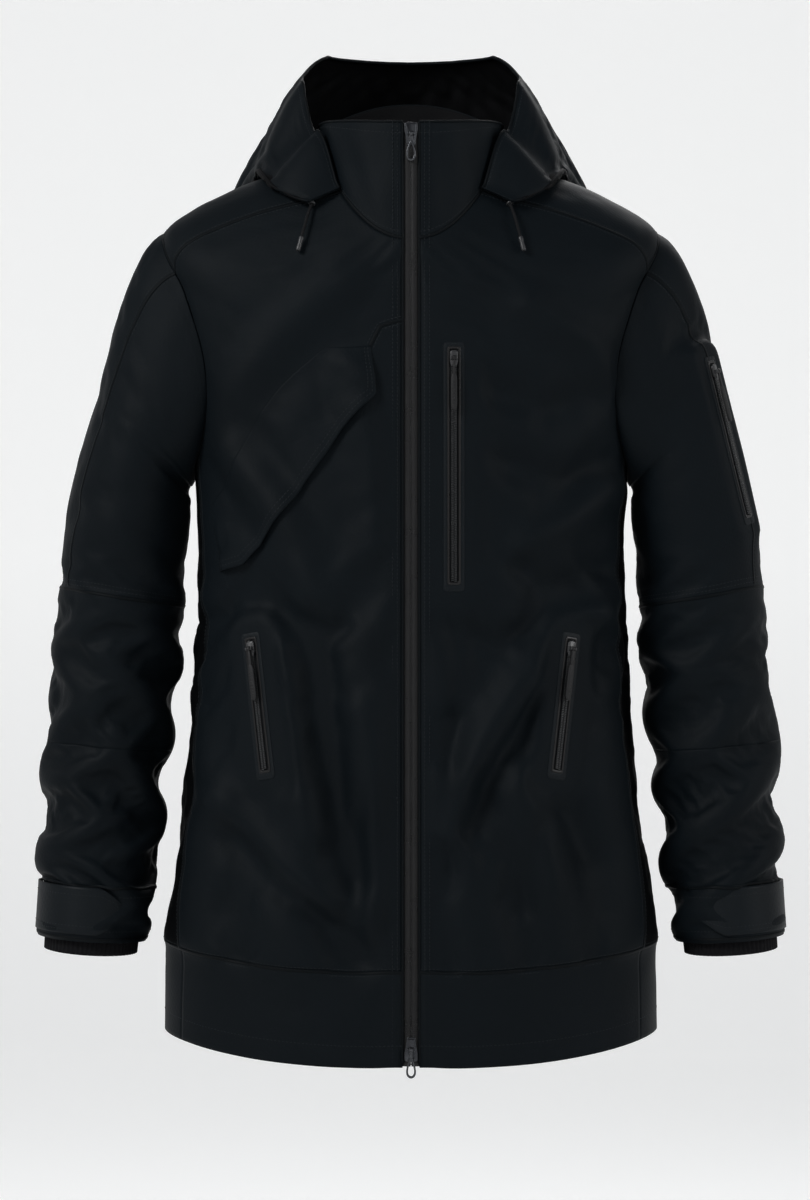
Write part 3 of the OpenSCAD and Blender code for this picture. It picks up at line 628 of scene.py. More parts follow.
MAT = {
    "shell": fabric("shell", (0.0016, 0.0029, 0.0040)),
    # The side panels' cloth is darker, rougher and without sheen: painted shade where the arms shade the
    # body's sides.
    "shell_side": fabric("shell_side", (0.0006, 0.0008, 0.0010), rough=0.8, specular=0.025, sheen=0.0),
    "lining": fabric("lining", (0.0018, 0.0019, 0.0022), thread=0.5, rough=0.75, specular=0.06,
                     sheen=0.0, crumple=0.2),
    "knit": fabric("knit", (0.0028, 0.0028, 0.0034), thread=1.6, rough=0.85, specular=0.08,
                   twill=False, weave=0.7, crumple=0.1),
    "laminate": fabric("laminate", (0.0021, 0.0035, 0.0047), rough=0.5, specular=0.085),
    "seam": fabric("seam", (0.0010, 0.0018, 0.0024), thread=0.9, rough=0.6, crumple=0.1),
    "tape": fabric("tape", (0.0022, 0.0025, 0.0030), thread=0.9, rough=0.6, twill=False, weave=0.6,
                   crumple=0.05),
    "webbing": fabric("webbing", (0.0042, 0.0042, 0.0050), thread=1.2, rough=0.7, twill=False,
                      weave=0.8, crumple=0.05),
    "thread": hard("thread", (0.0036, 0.0054, 0.0068), specular=0.15, rough=0.6, grain=400, depth=0.4),
    "film": hard("film", (0.0045, 0.0045, 0.0048), rough=0.30, specular=0.18, grain=160, depth=0.12),
    "teeth": hard("teeth", (0.014, 0.015, 0.016), rough=0.34, specular=0.32, depth=0.05),
    "metal": hard("metal", (0.040, 0.042, 0.046), rough=0.30, metal=1.0, depth=0.08, wear=1.25),
    "ring": hard("ring", (0.050, 0.052, 0.056), rough=0.26, metal=1.0, depth=0.05, wear=1.2),
    "black_metal": hard("black_metal", (0.011, 0.0115, 0.0125), rough=0.36, specular=0.35,
                        wear=1.6, coat=0.08),
    "rubber": hard("rubber", (0.0050, 0.0052, 0.0057), rough=0.55, specular=0.2, depth=0.3),
    "moulded": hard("moulded", (0.013, 0.0135, 0.0145), rough=0.4, specular=0.3, depth=0.2),
    "braid": fabric("braid", (0.0050, 0.0052, 0.0057), thread=0.9, rough=0.7, weave=0.9, crumple=0.05),
}


# ---------------------------------------------------------------- mesh making
def piece(name, verts, faces, body_name, mats, uv=None, index=None, replaces=()):
    """One object from points in mm."""
    me = bpy.data.meshes.new(name)
    me.from_pydata((verts * 0.001).tolist(), [], [list(map(int, f)) for f in faces])
    for m in mats:
        me.materials.append(MAT[m])
    if index is not None:
        me.polygons.foreach_set("material_index", np.asarray(index, np.int32))
    me.polygons.foreach_set("use_smooth", np.ones(len(me.polygons), bool))
    loops = np.empty(len(me.loops), np.int32)
    me.loops.foreach_get("vertex_index", loops)
    if uv is None:
        uv = verts[:, [0, 2]] * 0.001
    layer = me.uv_layers.new(name="cut")
    layer.data.foreach_set("uv", np.asarray(uv, np.float32)[loops].ravel())
    me.validate()
    me.update()
    o = bpy.data.objects.new(name, me)
    bpy.context.scene.collection.objects.link(o)
    if body_name:
        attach(o, body_name)
    if replaces:
        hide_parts(*replaces)
    return o


def grid_normals(p, closed=False):
    a = (np.roll(p, -1, 1) - np.roll(p, 1, 1)) if closed else np.gradient(p, axis=1)
    return unit(np.cross(a, np.gradient(p, axis=0)))


def grid_faces(r, c, closed=False, first=0, back=False):
    """Quads of a grid of r rows of c points, with its last column joined to its first where closed."""
    i, j = np.meshgrid(np.arange(r - 1), np.arange(c if closed else c - 1), indexing="ij")
    a = first + i * c + j
    b = first + i * c + (j + 1) % c
    q = np.stack([a, b, b + c, a + c], -1).reshape(-1, 4)
    return q[:, ::-1] if back else q


def tube_faces(r, c):
    """A closed tube of r rings of c points, with both its ends."""
    return grid_faces(r, c, True).tolist() + [list(range(c))[::-1], list(range((r - 1) * c, r * c))]


def joined(parts):
    """Several (points, faces) as one."""
    first = np.cumsum([0] + [len(v) for v, _ in parts])
    faces = [[k + i for i in q] for k, (_, f) in zip(first, parts) for q in f]
    return np.concatenate([v for v, _ in parts]), faces


def cloth_shell(name, p, thick, body_name="jacket", mats=("shell", "lining"), closed=False,
                flip=False, out=0.0, replaces=()):
    """A closed thin shell: the outside is p, moved out by `out`; the inside takes the second material."""
    if flip:
        p = p[:, ::-1]
    n = grid_normals(p, closed)
    o = p + n * out
    q = o - n * (thick[..., None] if isinstance(thick, np.ndarray) else thick)
    r, c = p.shape[:2]
    k = r * c
    u = np.concatenate([[0], np.cumsum(np.linalg.norm(np.diff(p, axis=1), axis=-1).mean(0))])
    v = np.concatenate([[0], np.cumsum(np.linalg.norm(np.diff(p, axis=0), axis=-1).mean(1))])
    uv = np.stack(np.broadcast_arrays(u[None], v[:, None]), -1).reshape(-1, 2) * 0.001
    ids = np.arange(k).reshape(r, c)
    if closed:
        edges = [np.append(ids[0], ids[0, 0]), np.append(ids[-1], ids[-1, 0])[::-1]]
    else:
        edges = [ids[0], ids[:, -1], ids[-1, ::-1], ids[::-1, 0]]
    sides = [np.stack([e[1:], e[:-1], e[:-1] + k, e[1:] + k], -1) for e in edges]
    faces = np.concatenate([grid_faces(r, c, closed), grid_faces(r, c, closed, k, True)] + sides)
    index = np.zeros(len(faces))
    inside = len(grid_faces(r, c, closed))
    index[inside:2 * inside] = 1
    verts = np.concatenate([o, q]).reshape(-1, 3)
    return piece(name, verts, faces, body_name, mats, np.concatenate([uv, uv]), index, replaces)


def path_frames(p, n):
    t = unit(np.gradient(p, axis=0))
    n = unit(n - t * np.einsum("ij,ij->i", n, t)[:, None])
    return t, n, np.cross(n, t)


def ribbons(name, paths, width, height, body_name="jacket", mat="seam", sink=0.6):
    """Narrow raised strips along paths of (points, normals); each has a slightly round top."""
    profile = [(-0.5, -sink), (-0.42, height * 0.75), (-0.15, height), (0.15, height), (0.42, height * 0.75),
               (0.5, -sink)]
    parts, uvs = [], []
    for p, n in paths:
        _, n, s = path_frames(p, n)
        g = np.stack([p + s * (x * width) + n * y for x, y in profile], 1)
        r, c = g.shape[:2]
        parts.append((g.reshape(-1, 3), tube_faces(r, c)))
        across, run = np.arange(c) * width * 0.0002, along(p)[:, None] * 0.001
        uvs.append(np.stack(np.broadcast_arrays(across, run), -1).reshape(-1, 2))
    verts, faces = joined(parts)
    return piece(name, verts, faces, body_name, [mat], np.concatenate(uvs))


STITCH = np.array([[-0.5, 0, -0.3], [-0.32, -0.5, 0], [-0.32, 0.5, 0], [-0.3, 0, 1], [0.3, 0, 1],
                   [0.32, 0.5, 0], [0.32, -0.5, 0], [0.5, 0, -0.3]])
STITCH_FACES = [[0, 3, 2], [0, 1, 3], [3, 4, 5, 2], [1, 6, 4, 3], [4, 7, 5], [4, 6, 7]]


def stitches(name, paths, body_name="jacket", pitch=3.4, length=2.4, wide=0.55, high=0.32):
    """Rows of single stitches along paths of (points, normals)."""
    parts = []
    for p, n in paths:
        t, n, s = path_frames(p, n)
        d = along(p)
        for x in np.arange(pitch / 2, d[-1], pitch):
            q, a, b, c = (np.array([np.interp(x, d, arr[:, m]) for m in range(3)]) for arr in (p, t, s, n))
            v = q + STITCH[:, :1] * length * a + STITCH[:, 1:2] * wide * b + STITCH[:, 2:] * high * c
            parts.append((v, STITCH_FACES))
    verts, faces = joined(parts)
    return piece(name, verts, faces, body_name, ["thread"])


def beside(path, off):
    """The same path moved sideways over the surface by off mm."""
    p, n = path
    return p + path_frames(p, n)[2] * off, n


# ---------------------------------------------------------------- panels, seams and stitches
def chart_paths(curve, side=1, lift=0.0):
    """A seam's points and normals from its chart points. Side -1 mirrors the chart, not the folds."""
    th = curve[:, 0] if side > 0 else 180 - curve[:, 0]
    p, n = torso(th, curve[:, 1]), torso_n(th, curve[:, 1])
    return p + n * lift, n


CHART_SCALE = np.array([3.0, 700.0])   # mm for each degree and for the whole way up


def resample(pts, n):
    """n chart points evenly along a line of them."""
    d = along(pts * CHART_SCALE)
    x = np.linspace(0, d[-1], n)
    return np.stack([np.interp(x, d, pts[:, k]) for k in (0, 1)], -1)


def between(a, b, cols):
    """A chart whose columns run from one edge to the other."""
    t = np.linspace(0, 1, cols)[None, :, None]
    return a[:, None] * (1 - t) + b[:, None] * t


# The side panel is widest at the hem and meets the armhole SIDE_TOP degrees from its middle.
SIDE_TOP, SIDE_HEM = 16.0, 27.0
SIDE_PH = 180 - math.degrees(math.asin(SIDE_TOP / HOLE_A))
SIDE_V = float(armhole(SIDE_PH)[1])
YOKE_PH, YOKE_NECK = 47.0, -42.0
BACK_PH = -math.degrees(math.acos((YOKE_BACK_V - HOLE_V) / HOLE_DV))
BACK_TH = float(armhole(BACK_PH)[0])


def side_half(v):
    return lerp(SIDE_HEM, SIDE_TOP, np.minimum(v / 0.72, 1))


def arm_curve(a, b, n):
    return np.stack(armhole(np.linspace(a, b, n)), -1)


def level(a, b, v, n):
    """A chart line at one height."""
    return np.stack([np.linspace(a, b, n), np.full(n, v)], -1)


def front_chart(rows=200, cols=62):
    v = np.linspace(HEM_V, 1, 220)
    k = int(rows * 13 / 18.0)   # rows along the zip; the others end at the neck
    neck = level(float(front_angle(1.0)), YOKE_NECK, 1.0, rows - k + 1)[1:]
    starts = np.concatenate([resample(np.stack([front_angle(v), v], -1), k), neck])
    v = np.linspace(HEM_V, SIDE_V, 160)
    k = int(rows * 0.5)   # rows along the side seam; the others end at the armhole
    side = resample(np.stack([-side_half(v), v], -1), k)
    return between(starts, np.concatenate([side, arm_curve(SIDE_PH, YOKE_PH, rows - k + 1)[1:]]), cols)


def side_chart(rows=150, cols=26):
    f = np.linspace(-1, 1, cols)[None]
    top = armhole(180 - np.degrees(np.arcsin(np.clip(f * SIDE_TOP / HOLE_A, -1, 1))))[1]
    v = HEM_V + (top - HEM_V) * np.linspace(0, 1, rows)[:, None]
    return np.stack([f * side_half(v), v], -1)


def back_chart(rows=190, cols=120):
    v = np.linspace(HEM_V, YOKE_BACK_V, rows)
    in_hole = HOLE_A * np.sqrt(np.clip(1 - ((v - HOLE_V) / HOLE_DV) ** 2, 0, 1))
    a = np.where(v < SIDE_V, side_half(v), in_hole)
    return between(np.stack([a, v], -1), np.stack([180 - a, v], -1), cols)


def yoke_chart(cols=34):
    inner = np.concatenate([level(YOKE_NECK, BACK_TH + 3, 1.0, 60), level(BACK_TH + 3, 90, 1.0, 60)[1:]])
    outer = np.concatenate([arm_curve(YOKE_PH, BACK_PH, 60), level(BACK_TH, 90, YOKE_BACK_V, 60)[1:]])
    a, b = (np.concatenate([q, flip_chart(q[-2::-1])]) for q in (inner, outer))
    return between(a, b, cols)


def hem_chart(a, b, rows, cols):
    """The hem band from angle a, or from the front edge where a is None, to b."""
    v = np.linspace(0, HEM_V, rows)
    start = front_angle(v) if a is None else np.full(rows, float(a))
    return between(np.stack([start, v], -1), np.stack([np.full(rows, float(b)), v], -1), cols)


def flip_chart(ch):
    return np.stack([180 - ch[..., 0], ch[..., 1]], -1)


def lay(ch):
    return torso(ch[..., 0], ch[..., 1])


FRONT, SIDE, HEM_FRONT = front_chart(), side_chart(), hem_chart(None, -27, 26, 62)
for side, word in SIDES:
    front, panel, hem = (lay(c if side > 0 else flip_chart(c)) for c in (FRONT, SIDE, HEM_FRONT))
    flip = side < 0
    cloth_shell("front_" + word, front, 1.0, flip=flip, replaces=["front_panel_" + word])
    # the side panels take the darker cloth, painted shade under the arms
    cloth_shell("side_" + word, panel, 1.0, "jacket", ("shell_side", "lining"), flip=flip,
                replaces=["side_panel_" + word])
    cloth_shell("hem_" + word, hem, 1.7, flip=flip, out=0.35, replaces=["hem_band_" + word])
cloth_shell("back", lay(back_chart()), 1.0, replaces=["back_panel"])
cloth_shell("hem_back", lay(hem_chart(-27, 207, 26, 150)), 1.7, out=0.35, replaces=["hem_band_back"])
cloth_shell("yoke", lay(yoke_chart()), 1.0, replaces=["shoulder_yoke"])

# Seams are narrow raised strips; beside each run one or two rows of stitches.
side_v = lerp(HEM_V, SIDE_V, np.linspace(0, 1, 240))
side_line = np.stack([-side_half(side_v), side_v], -1)
hem_a, edge_a = float(front_angle(HEM_V)), float(front_angle(0.004))
u = np.linspace(0, 1, 160)
yoke_th, yoke_v = armhole(YOKE_PH)
yoke_front = np.stack([lerp(YOKE_NECK, float(yoke_th), u), lerp(1.0, float(yoke_v), u)], -1)
neck_to_flap = resample(np.array([[float(front_angle(0.893)), 0.893], [-87.0, 0.885], [-85.4, 0.862]]), 40)
lines = {"hem": chart_paths(level(hem_a, 180 - hem_a, HEM_V, 620)),
         "yoke_back": chart_paths(level(BACK_TH, 180 - BACK_TH, YOKE_BACK_V, 300)),
         "flap_top": chart_paths(neck_to_flap, -1)}
for side, word in SIDES:
    lines["side_" + word] = chart_paths(side_line, side)
    lines["back_" + word] = chart_paths(side_line * [-1, 1], side)
    lines["yoke_" + word] = chart_paths(yoke_front, side)
    lines["hole_" + word] = chart_paths(arm_curve(150, 407, 300), side)
ribbons("seams_body", list(lines.values()), 3.2, 0.55)
rows = []
for k, path in lines.items():
    rows += [beside(path, 3.2)] if k.startswith(("hole", "back")) else [beside(path, 3.0), beside(path, -3.0)]
rows.append(chart_paths(level(edge_a, 180 - edge_a, 0.022, 620), 1, 0.3))
stitches("stitches_body", rows)


# ---------------------------------------------------------------- sleeves
ELBOW, FOREARM = 0.52, 0.74   # where the elbow's cloth starts and ends, as shares of the sleeve
BEND_FROM, BEND_TO = (0.257, 0.008, -0.381), (0.257, 0.008, -0.495)
TAB_HALF, TAB_POINT = 0.028, 0.80   # half its width, and where its end starts to narrow


def on_arm(side, s, a, off=0.0):
    """Points and normals on a sleeve's cloth."""
    s, a = floats(s, a)
    across = arm(side, s, a + 2) - arm(side, s, a - 2)
    down = arm(side, s + 0.004, a) - arm(side, s - 0.004, a)
    n = unit(np.cross(across, down) * side)
    return arm(side, s, a) + n * off, n


def arm_shell(name, side, word, start, end, rows, thick, replaced, body_name="jacket", out=0.0):
    p = arm(side, np.linspace(start, end, rows)[:, None], (np.arange(120) * 3.0)[None])
    return cloth_shell(name + word, p, thick, body_name, closed=True, flip=side < 0, out=out,
                       replaces=[replaced + word])


def gaiter(side, word, body_name):
    """Ribbed knit inside the cuff, showing below its edge."""
    ph = (np.arange(360) * 1.0)[None]
    g = sleeve(np.linspace(0.88, 1.0, 24)[:, None], ph)
    tail = g[-1] - g[-2]
    g = np.concatenate([g] + [g[-1:] + tail * k for k in (1, 2, 3)], 0) * [side, 1, 1]
    q = g[:, ::-1] if side < 0 else g
    q = q + grid_normals(q, True) * (-6.0 + 0.45 * np.cos(np.radians(ph * 60)))[..., None]
    cloth_shell("gaiter_" + word, q, 1.0, body_name, ("knit", "knit"), closed=True,
                replaces=["wrist_gaiter_" + word])


def cuff_tab(side, word):
    """A bonded strap with a pointed end and a row of stitches round it."""
    f = np.linspace(0, 1, 90)[None]
    point = 1.0 - 0.75 * np.clip((f - TAB_POINT) / (1 - TAB_POINT), 0, 1) ** 1.3
    half = np.where(f < TAB_POINT, 1.0, point)
    s = 0.964 + TAB_HALF * half * np.linspace(-1, 1, 18)[:, None]
    shape = sleeve(s, -12 + 138 * f + 0 * s) * [side, 1, 1]
    n = grid_normals(shape) if side > 0 else grid_normals(shape[:, ::-1])[:, ::-1]
    p = shape + n * 3.0
    cloth_shell("tab_cloth_" + word, p, 1.8, "tab_" + word, ("laminate", "laminate"),
                flip=side < 0, replaces=["cuff_tab_" + word])
    i = np.concatenate([np.full(70, 3.0), np.linspace(3, 14, 12), np.full(70, 14.0)])
    j = np.concatenate([np.linspace(3, 84, 70), np.full(12, 84.0), np.linspace(84, 3, 70)])
    stitches("stitches_tab_" + word, [(sample(p, i, j), sample(n, i, j))], "tab_" + word)


for side, word in SIDES:
    lower = "lower_arm_" + word
    arm_shell("sleeve_", side, word, 0.004, ELBOW, 120, 1.0, "sleeve_upper_")
    mid = arm_shell("elbow_", side, word, ELBOW, FOREARM, 70, 1.0, "sleeve_elbow_", None)
    start, end = ((side * x, y, z) for x, y, z in (BEND_FROM, BEND_TO))
    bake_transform(mid)
    arm_shell("forearm_sleeve_", side, word, FOREARM, 0.932, 76, 1.0, "forearm_", lower)
    arm_shell("cuff_cloth_", side, word, 0.928, 1.0, 20, 1.8, "cuff_", lower, out=0.5)
    gaiter(side, word, lower)
    ring = np.linspace(0, 360, 200)
    ribbons("seam_elbow_" + word, [on_arm(side, ELBOW, ring)], 3.0, 0.5)
    stitches("stitches_elbow_" + word, [on_arm(side, 0.512, ring), on_arm(side, 0.506, ring)])
    seam = on_arm(side, np.linspace(0.003, 0.515, 160), 47 - 9 * np.linspace(0, 1, 160))
    ribbons("seam_arm_" + word, [seam], 3.0, 0.5)
    stitches("stitches_arm_" + word, [beside(seam, 3.0), beside(seam, -3.0)])
    cuff_seams = [on_arm(side, 0.931, ring, 0.6), on_arm(side, 0.996, ring, 0.4)]
    ribbons("seam_cuff_" + word, cuff_seams, 3.0, 0.7, lower)
    stitches("stitches_cuff_" + word, [on_arm(side, 0.942, ring, 0.6), on_arm(side, 0.986, ring, 0.5)], lower)
    cuff_tab(side, word)


# ---------------------------------------------------------------- collar
TOP_X, TOP_Z, ROUND = 80, 32, 0.9   # the collar's upper edge: half width, height at the sides, roundness


def collar_top(th):
    c, s = np.cos(np.radians(th)), np.sin(np.radians(th))
    front = s < 0
    return np.stack([TOP_X * np.sign(c) * np.abs(c) ** ROUND,
                     np.where(front, front_y(25.0), 80) * np.abs(s) ** ROUND,
                     TOP_Z + np.where(front, -7.0, 30.0) * s * s], -1)


def collar(th, w, off=0.0):
    """Points and normals on the collar: th is the angle round it, w the share of the way up."""
    th, w = floats(th, w)

    def smooth_collar(a, b):
        return body(a, np.ones_like(a)) * (1 - b[..., None]) + collar_top(a) * b[..., None]

    across = smooth_collar(th + 0.5, w) - smooth_collar(th - 0.5, w)
    n = unit(np.cross(across, smooth_collar(th, w + 0.05) - smooth_collar(th, w - 0.05)))
    soft = np.sin(np.pi * np.clip(w, 0, 1)) * ease((np.minimum(th + 86, 266 - th)) / 14)
    wrinkle = 1.5 * np.sin(np.radians(th * 7 + 40 * w)) + 1.1 * np.sin(np.radians(th * 13 + 260 * w))
    wrinkle = wrinkle + 0.8 * np.sin(np.radians(th * 5 - 400 * w))
    return smooth_collar(th, w) + n * (off + soft * wrinkle * 0.55)[..., None], n


COLLAR_A = -math.degrees(math.acos((GAP / TOP_X) ** (1 / ROUND)))
for side, word in SIDES:
    th = np.linspace(COLLAR_A, 90, 110)[None]
    p, n = collar(th if side > 0 else 180 - th, np.linspace(0.0, 1, 40)[:, None])
    cloth_shell("collar_cloth_" + word, p, 1.5, flip=side < 0, replaces=["collar_" + word])
p, n = collar(np.linspace(-80, 260, 220)[None], np.linspace(0.02, 0.985, 34)[:, None], -2.1)
cloth_shell("collar_inside", p, 1.1, "jacket", ("lining", "lining"), replaces=["collar_lining"])


def upward(path):
    """A path's edge-on normals, turned upwards."""
    p, n = path
    rim = unit(np.cross(np.gradient(p, axis=0), n))
    return p, rim * np.sign(rim[:, 2:])


a = np.linspace(COLLAR_A, 180 - COLLAR_A, 320)
ribbons("collar_edge", [upward(collar(a, np.full(320, 0.995), -0.75))], 2.9, 1.1, sink=0.8)
ribbons("collar_seam", [collar(a, np.full(320, 0.01))], 3.2, 0.7)
stitches("collar_stitches", [collar(a, np.full(320, w), 0.1) for w in (0.06, 0.90)])


def webbing(x0, x1, y, t, soft, n):
    """A flat strap along x, 8 mm high and 2 t thick, with edges softened by `soft`."""
    x = np.linspace(x0, x1, n)
    corners = ((-4, t - soft), (-3.7, t), (3.7, t), (4, t - soft), (4, soft - t), (3.7, -t), (-3.7, -t),
               (-4, soft - t))
    g = np.stack([np.stack([x, y + dy + 0 * x, 26 + dz + 0 * x], -1) for dz, dy in corners], 1)
    return g.reshape(-1, 3), tube_faces(n, len(corners))


# hang loop: a webbing strap sewn down at both ends over a folded end
loop = [webbing(-32, 32, 66.2, 0.6, 0.35, 60), webbing(-32, -26, 67.6, 1.2, 0.3, 6),
        webbing(26, 32, 67.6, 1.2, 0.3, 6)]
verts, faces = joined(loop)
piece("hang_strap", verts, faces, "jacket", ["webbing"], replaces=["hang_loop"])


# ---------------------------------------------------------------- hood, folded back
HOOD_A = 42.0   # the hood's ends lie this far in front of the wearer's sides, in degrees


def hood_share(th):
    """From 0 at the hood's ends to 1 behind, and the same angle on both sides."""
    a = np.where(th > 90, 180 - th, th)
    return ease((a + HOOD_A) / (90 + HOOD_A)), a


def hood_fold_v(th):
    return 1 - lerp(0.024, 0.20, hood_share(th)[0] ** 4)


def hood_under(th, u):
    v = lerp(0.998, hood_fold_v(th), u)
    return torso(th, v) + body_n(th, v) * lerp(3.0, 5.0, u)[..., None]


def hood_outer(th, u):
    """The hood's outer side, from the fold at the shoulders, u 0, to its rim, u 1."""
    k, a = hood_share(th)
    c, s = np.cos(np.radians(th)), np.sin(np.radians(th))
    v = hood_fold_v(th)
    low = body(th, v) + body_n(th, v) * 8
    ends = lerp(-22.0, 28.0, ease((a + HOOD_A) / 12)) + 50 * ease(a / 25 + 1)
    z = np.where(a < 0, ends, lerp(78.0, 112.0, ease(a / 45)))
    rim = np.stack([lerp(88, 102, np.minimum(1, k * 2.4)) * c, np.where(s < 0, 104.0, 118.0) * s, z], -1)
    away = unit(np.stack([low[..., 0], low[..., 1] - 20, 0 * k], -1))
    up = np.array([0, 0, 1.0])
    c1 = low + away * lerp(5.0, 40.0, k * k)[..., None] - up * lerp(1.0, 26.0, k)[..., None]
    c2 = rim + away * lerp(12.0, 74.0, k * k)[..., None] - up * lerp(6.0, 34.0, k)[..., None]
    u = np.asarray(u)[..., None]
    return (1 - u)**3 * low + 3 * u * (1 - u)**2 * c1 + 3 * u**2 * (1 - u) * c2 + u**3 * rim


def hood_cloth():
    coarse = None
    for r, c, steps in ((40, 96, 380), (80, 230, 130)):
        th = np.linspace(-HOOD_A, 180 + HOOD_A, c)[None] + np.zeros((r, 1))
        u = np.linspace(0, 1, r)[:, None] + np.zeros((1, c))
        p = hood_outer(th, u)
        free = ease(u / 0.10) * (1 - 0.55 * ease((u - 0.9) / 0.1))
        free = free * ease(np.minimum(th + HOOD_A, 180 + HOOD_A - th) / 9)
        # extra length where the hood slumps behind, and less of it towards the rim
        deep = ease((np.sin(np.radians(th)) + 0.15) / 0.9)
        calm = 1 - 0.85 * ease((u - 0.45) / 0.3)
        more_v = (0.016 + 0.030 * deep * bell(u, 0.30, 0.25)) * calm
        more_u = (0.012 + 0.026 * deep * bell(u, 0.45, 0.35)) * calm
        if coarse is None:
            broad, small = noise2((r, c), (r / 3, c / 9), 41), noise2((r, c), (r / 6, c / 18), 42)
            start = (3.6 * broad + 0.9 * small) * free
        else:
            start = dots(resize(coarse, r, c), grid_normals(p)) + 0.15 * noise2((r, c), (5, 5), 43) * free
        low, high = np.full((r, c), -7.0), np.full((r, c), 7.0)
        coarse = drape(p, free, more_u, more_v, start, low, high, steps=steps, pull=0.004, sag=0.05, bend=0.9)
    return th[:1], p + coarse


def hood_grid():
    """The hood's cloth from the neck seam out under it, round its fold and up to its rim."""
    th, outer = hood_cloth()
    u = np.linspace(0, 1, 34)[:, None]
    under = hood_under(th + 0 * u, u + 0 * th)
    turn = (under[-1:] + outer[:1]) / 2 + np.array([0, 0, -1.2])
    grid = np.concatenate([under, turn, outer], 0)
    # The front ends close flat, on a line from the neck seam to where the drawcord comes out.
    way = np.concatenate([u, [[1.0]], 1 - np.linspace(0, 1, len(outer))[:, None]])[..., None]
    rise = np.concatenate([0 * u, [[0.5]], np.full((len(outer), 1), 1.0)])[..., None]
    line = np.array([60, -74, -30.0]) * (1 - way) + np.array([86, -81, -42.0]) * way + rise * [0.8, -2.6, 1.6]
    for side, a in ((1, th[0]), (-1, 180 - th[0])):
        t = ease((a + HOOD_A) / 15)[None, :, None]
        grid = grid * t + line * [side, 1, 1] * (1 - t)
    return grid


def lift_with_hood(o):
    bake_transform(o)


HOOD = hood_grid()
HOOD_N = grid_normals(HOOD)
lift_with_hood(cloth_shell("hood_cloth", HOOD, 1.3, None, replaces=["hood_base", "hood_crown"]))


def on_hood(ri, ci, off=0.0):
    ri, ci = floats(ri, ci)
    return sample(HOOD, ri, ci) + sample(HOOD_N, ri, ci) * off, sample(HOOD_N, ri, ci)


last, columns = HOOD.shape[0] - 1, HOOD.shape[1]
cs = np.linspace(0, columns - 1, 420)
edge, edge_n = on_hood(last, cs, -0.65)
rim = unit(np.cross(np.gradient(edge, axis=0), edge_n))
rim *= np.sign((rim * (edge - on_hood(last - 3, cs)[0])).sum(-1, keepdims=True))
spine = [on_hood(np.linspace(last - 78, last - 1, 160), columns * x) for x in (0.41, 0.59)]
rows = [on_hood(last - 7, cs)] + [beside(q, o) for q in spine for o in (3, -3)]
for o in (ribbons("hood_rim", [(edge, rim)], 3.0, 1.1, None, sink=1.0),
          ribbons("hood_seams", spine, 3.0, 0.6, None), stitches("hood_stitches", rows, None)):
    lift_with_hood(o)


# ---------------------------------------------------------------- chest flap on the wearer's right
# chart points along its free edge and along the edge that is sewn on
FLAP_FREE = np.array([[-85.5, 0.862], [-85.5, 0.805], [-77, 0.758], [-65, 0.695], [-52, 0.638],
                      [-44.5, 0.620], [-32, 0.611]])
FLAP_SEWN = np.array([[-77, 0.859], [-73, 0.844], [-63, 0.808], [-52, 0.765], [-41, 0.714],
                      [-33, 0.694], [-26, 0.678]])


def flap_cloth(r=130, c=44):
    """Points, normals and thickness. The free edge lifts a little, and the sewn one lies flush."""
    k = np.linspace(0, 6, r)
    f, g = (np.stack([np.interp(k, range(7), q[:, m]) for m in (0, 1)], -1) for q in (FLAP_FREE, FLAP_SEWN))
    ch = flip_chart(between(f, g, c))
    n = torso_n(ch[..., 0], ch[..., 1])
    x, way = np.linspace(0, 1, c), np.linspace(0, 1, r)[:, None]
    ends = ease(way / 0.12) * ease((1 - way) / 0.05)
    wave = 0.6 * np.sin(9 * way) * (1 - x) ** 2
    lift = 0.12 + (0.9 + 2.6 * (1 - ease(x / 0.45)) + wave) * (1 - ease((x - 0.35) / 0.65)) * ends
    thick = 0.2 + 1.0 * (1 - ease((x - 0.4) / 0.6)) * (0.15 + 0.85 * ends)
    return lay(ch) + n * (lift + thick)[..., None], n, thick


p, n, thick = flap_cloth()
outwards = (grid_normals(p) * n).sum(-1).mean() > 0
q, thick = (p, thick) if outwards else (p[:, ::-1], thick[:, ::-1])
cloth_shell("flap_cloth", q, thick, "flap", replaces=["chest_flap"])
k = np.linspace(0, len(p) - 1, 260)
rows = [np.full(260, c) for c in (2.6, 5.2)]
stitches("flap_stitches", [(sample(p, k, c), sample(n, k, c)) for c in rows], "flap")


# ---------------------------------------------------------------- shapes for zips and fittings
# They are made in a zip's frame, with points as (sideways, outwards, along).
ORDER = {"out": (0, 2, 1), "x": (2, 1, 0)}   # the way in which a plate's thickness lies


def moved(f, along_it, outwards=0.0):
    return (f[0] + f[3] * along_it + f[2] * outwards,) + f[1:]


def rounded(pts, r, n=5):
    """A polygon, anticlockwise, with its corners rounded; r is one radius or one for each corner."""
    pts = np.asarray(pts, float)
    r = np.broadcast_to(r, len(pts))
    out = []
    for i, p in enumerate(pts):
        a, b = pts[i - 1] - p, pts[(i + 1) % len(pts)] - p
        la, lb = np.linalg.norm(a), np.linalg.norm(b)
        d = min(r[i], 0.45 * la, 0.45 * lb)
        a, b = p + a / la * d, p + b / lb * d
        for t in np.linspace(0, 1, n):
            out.append((1 - t) ** 2 * a + 2 * t * (1 - t) * p + t * t * b)
    return np.array(out)


def box(x0, x1, z0, z1, r, n):
    return rounded([(x0, z0), (x1, z0), (x1, z1), (x0, z1)], r, n)


def inset(o, d):
    e = np.roll(o, -1, 0) - o
    m = unit(np.stack([-e[:, 1], e[:, 0]], -1))
    n = m + np.roll(m, 1, 0)
    return o + n / np.maximum((n * n).sum(-1, keepdims=True) / 2, 0.6) * d


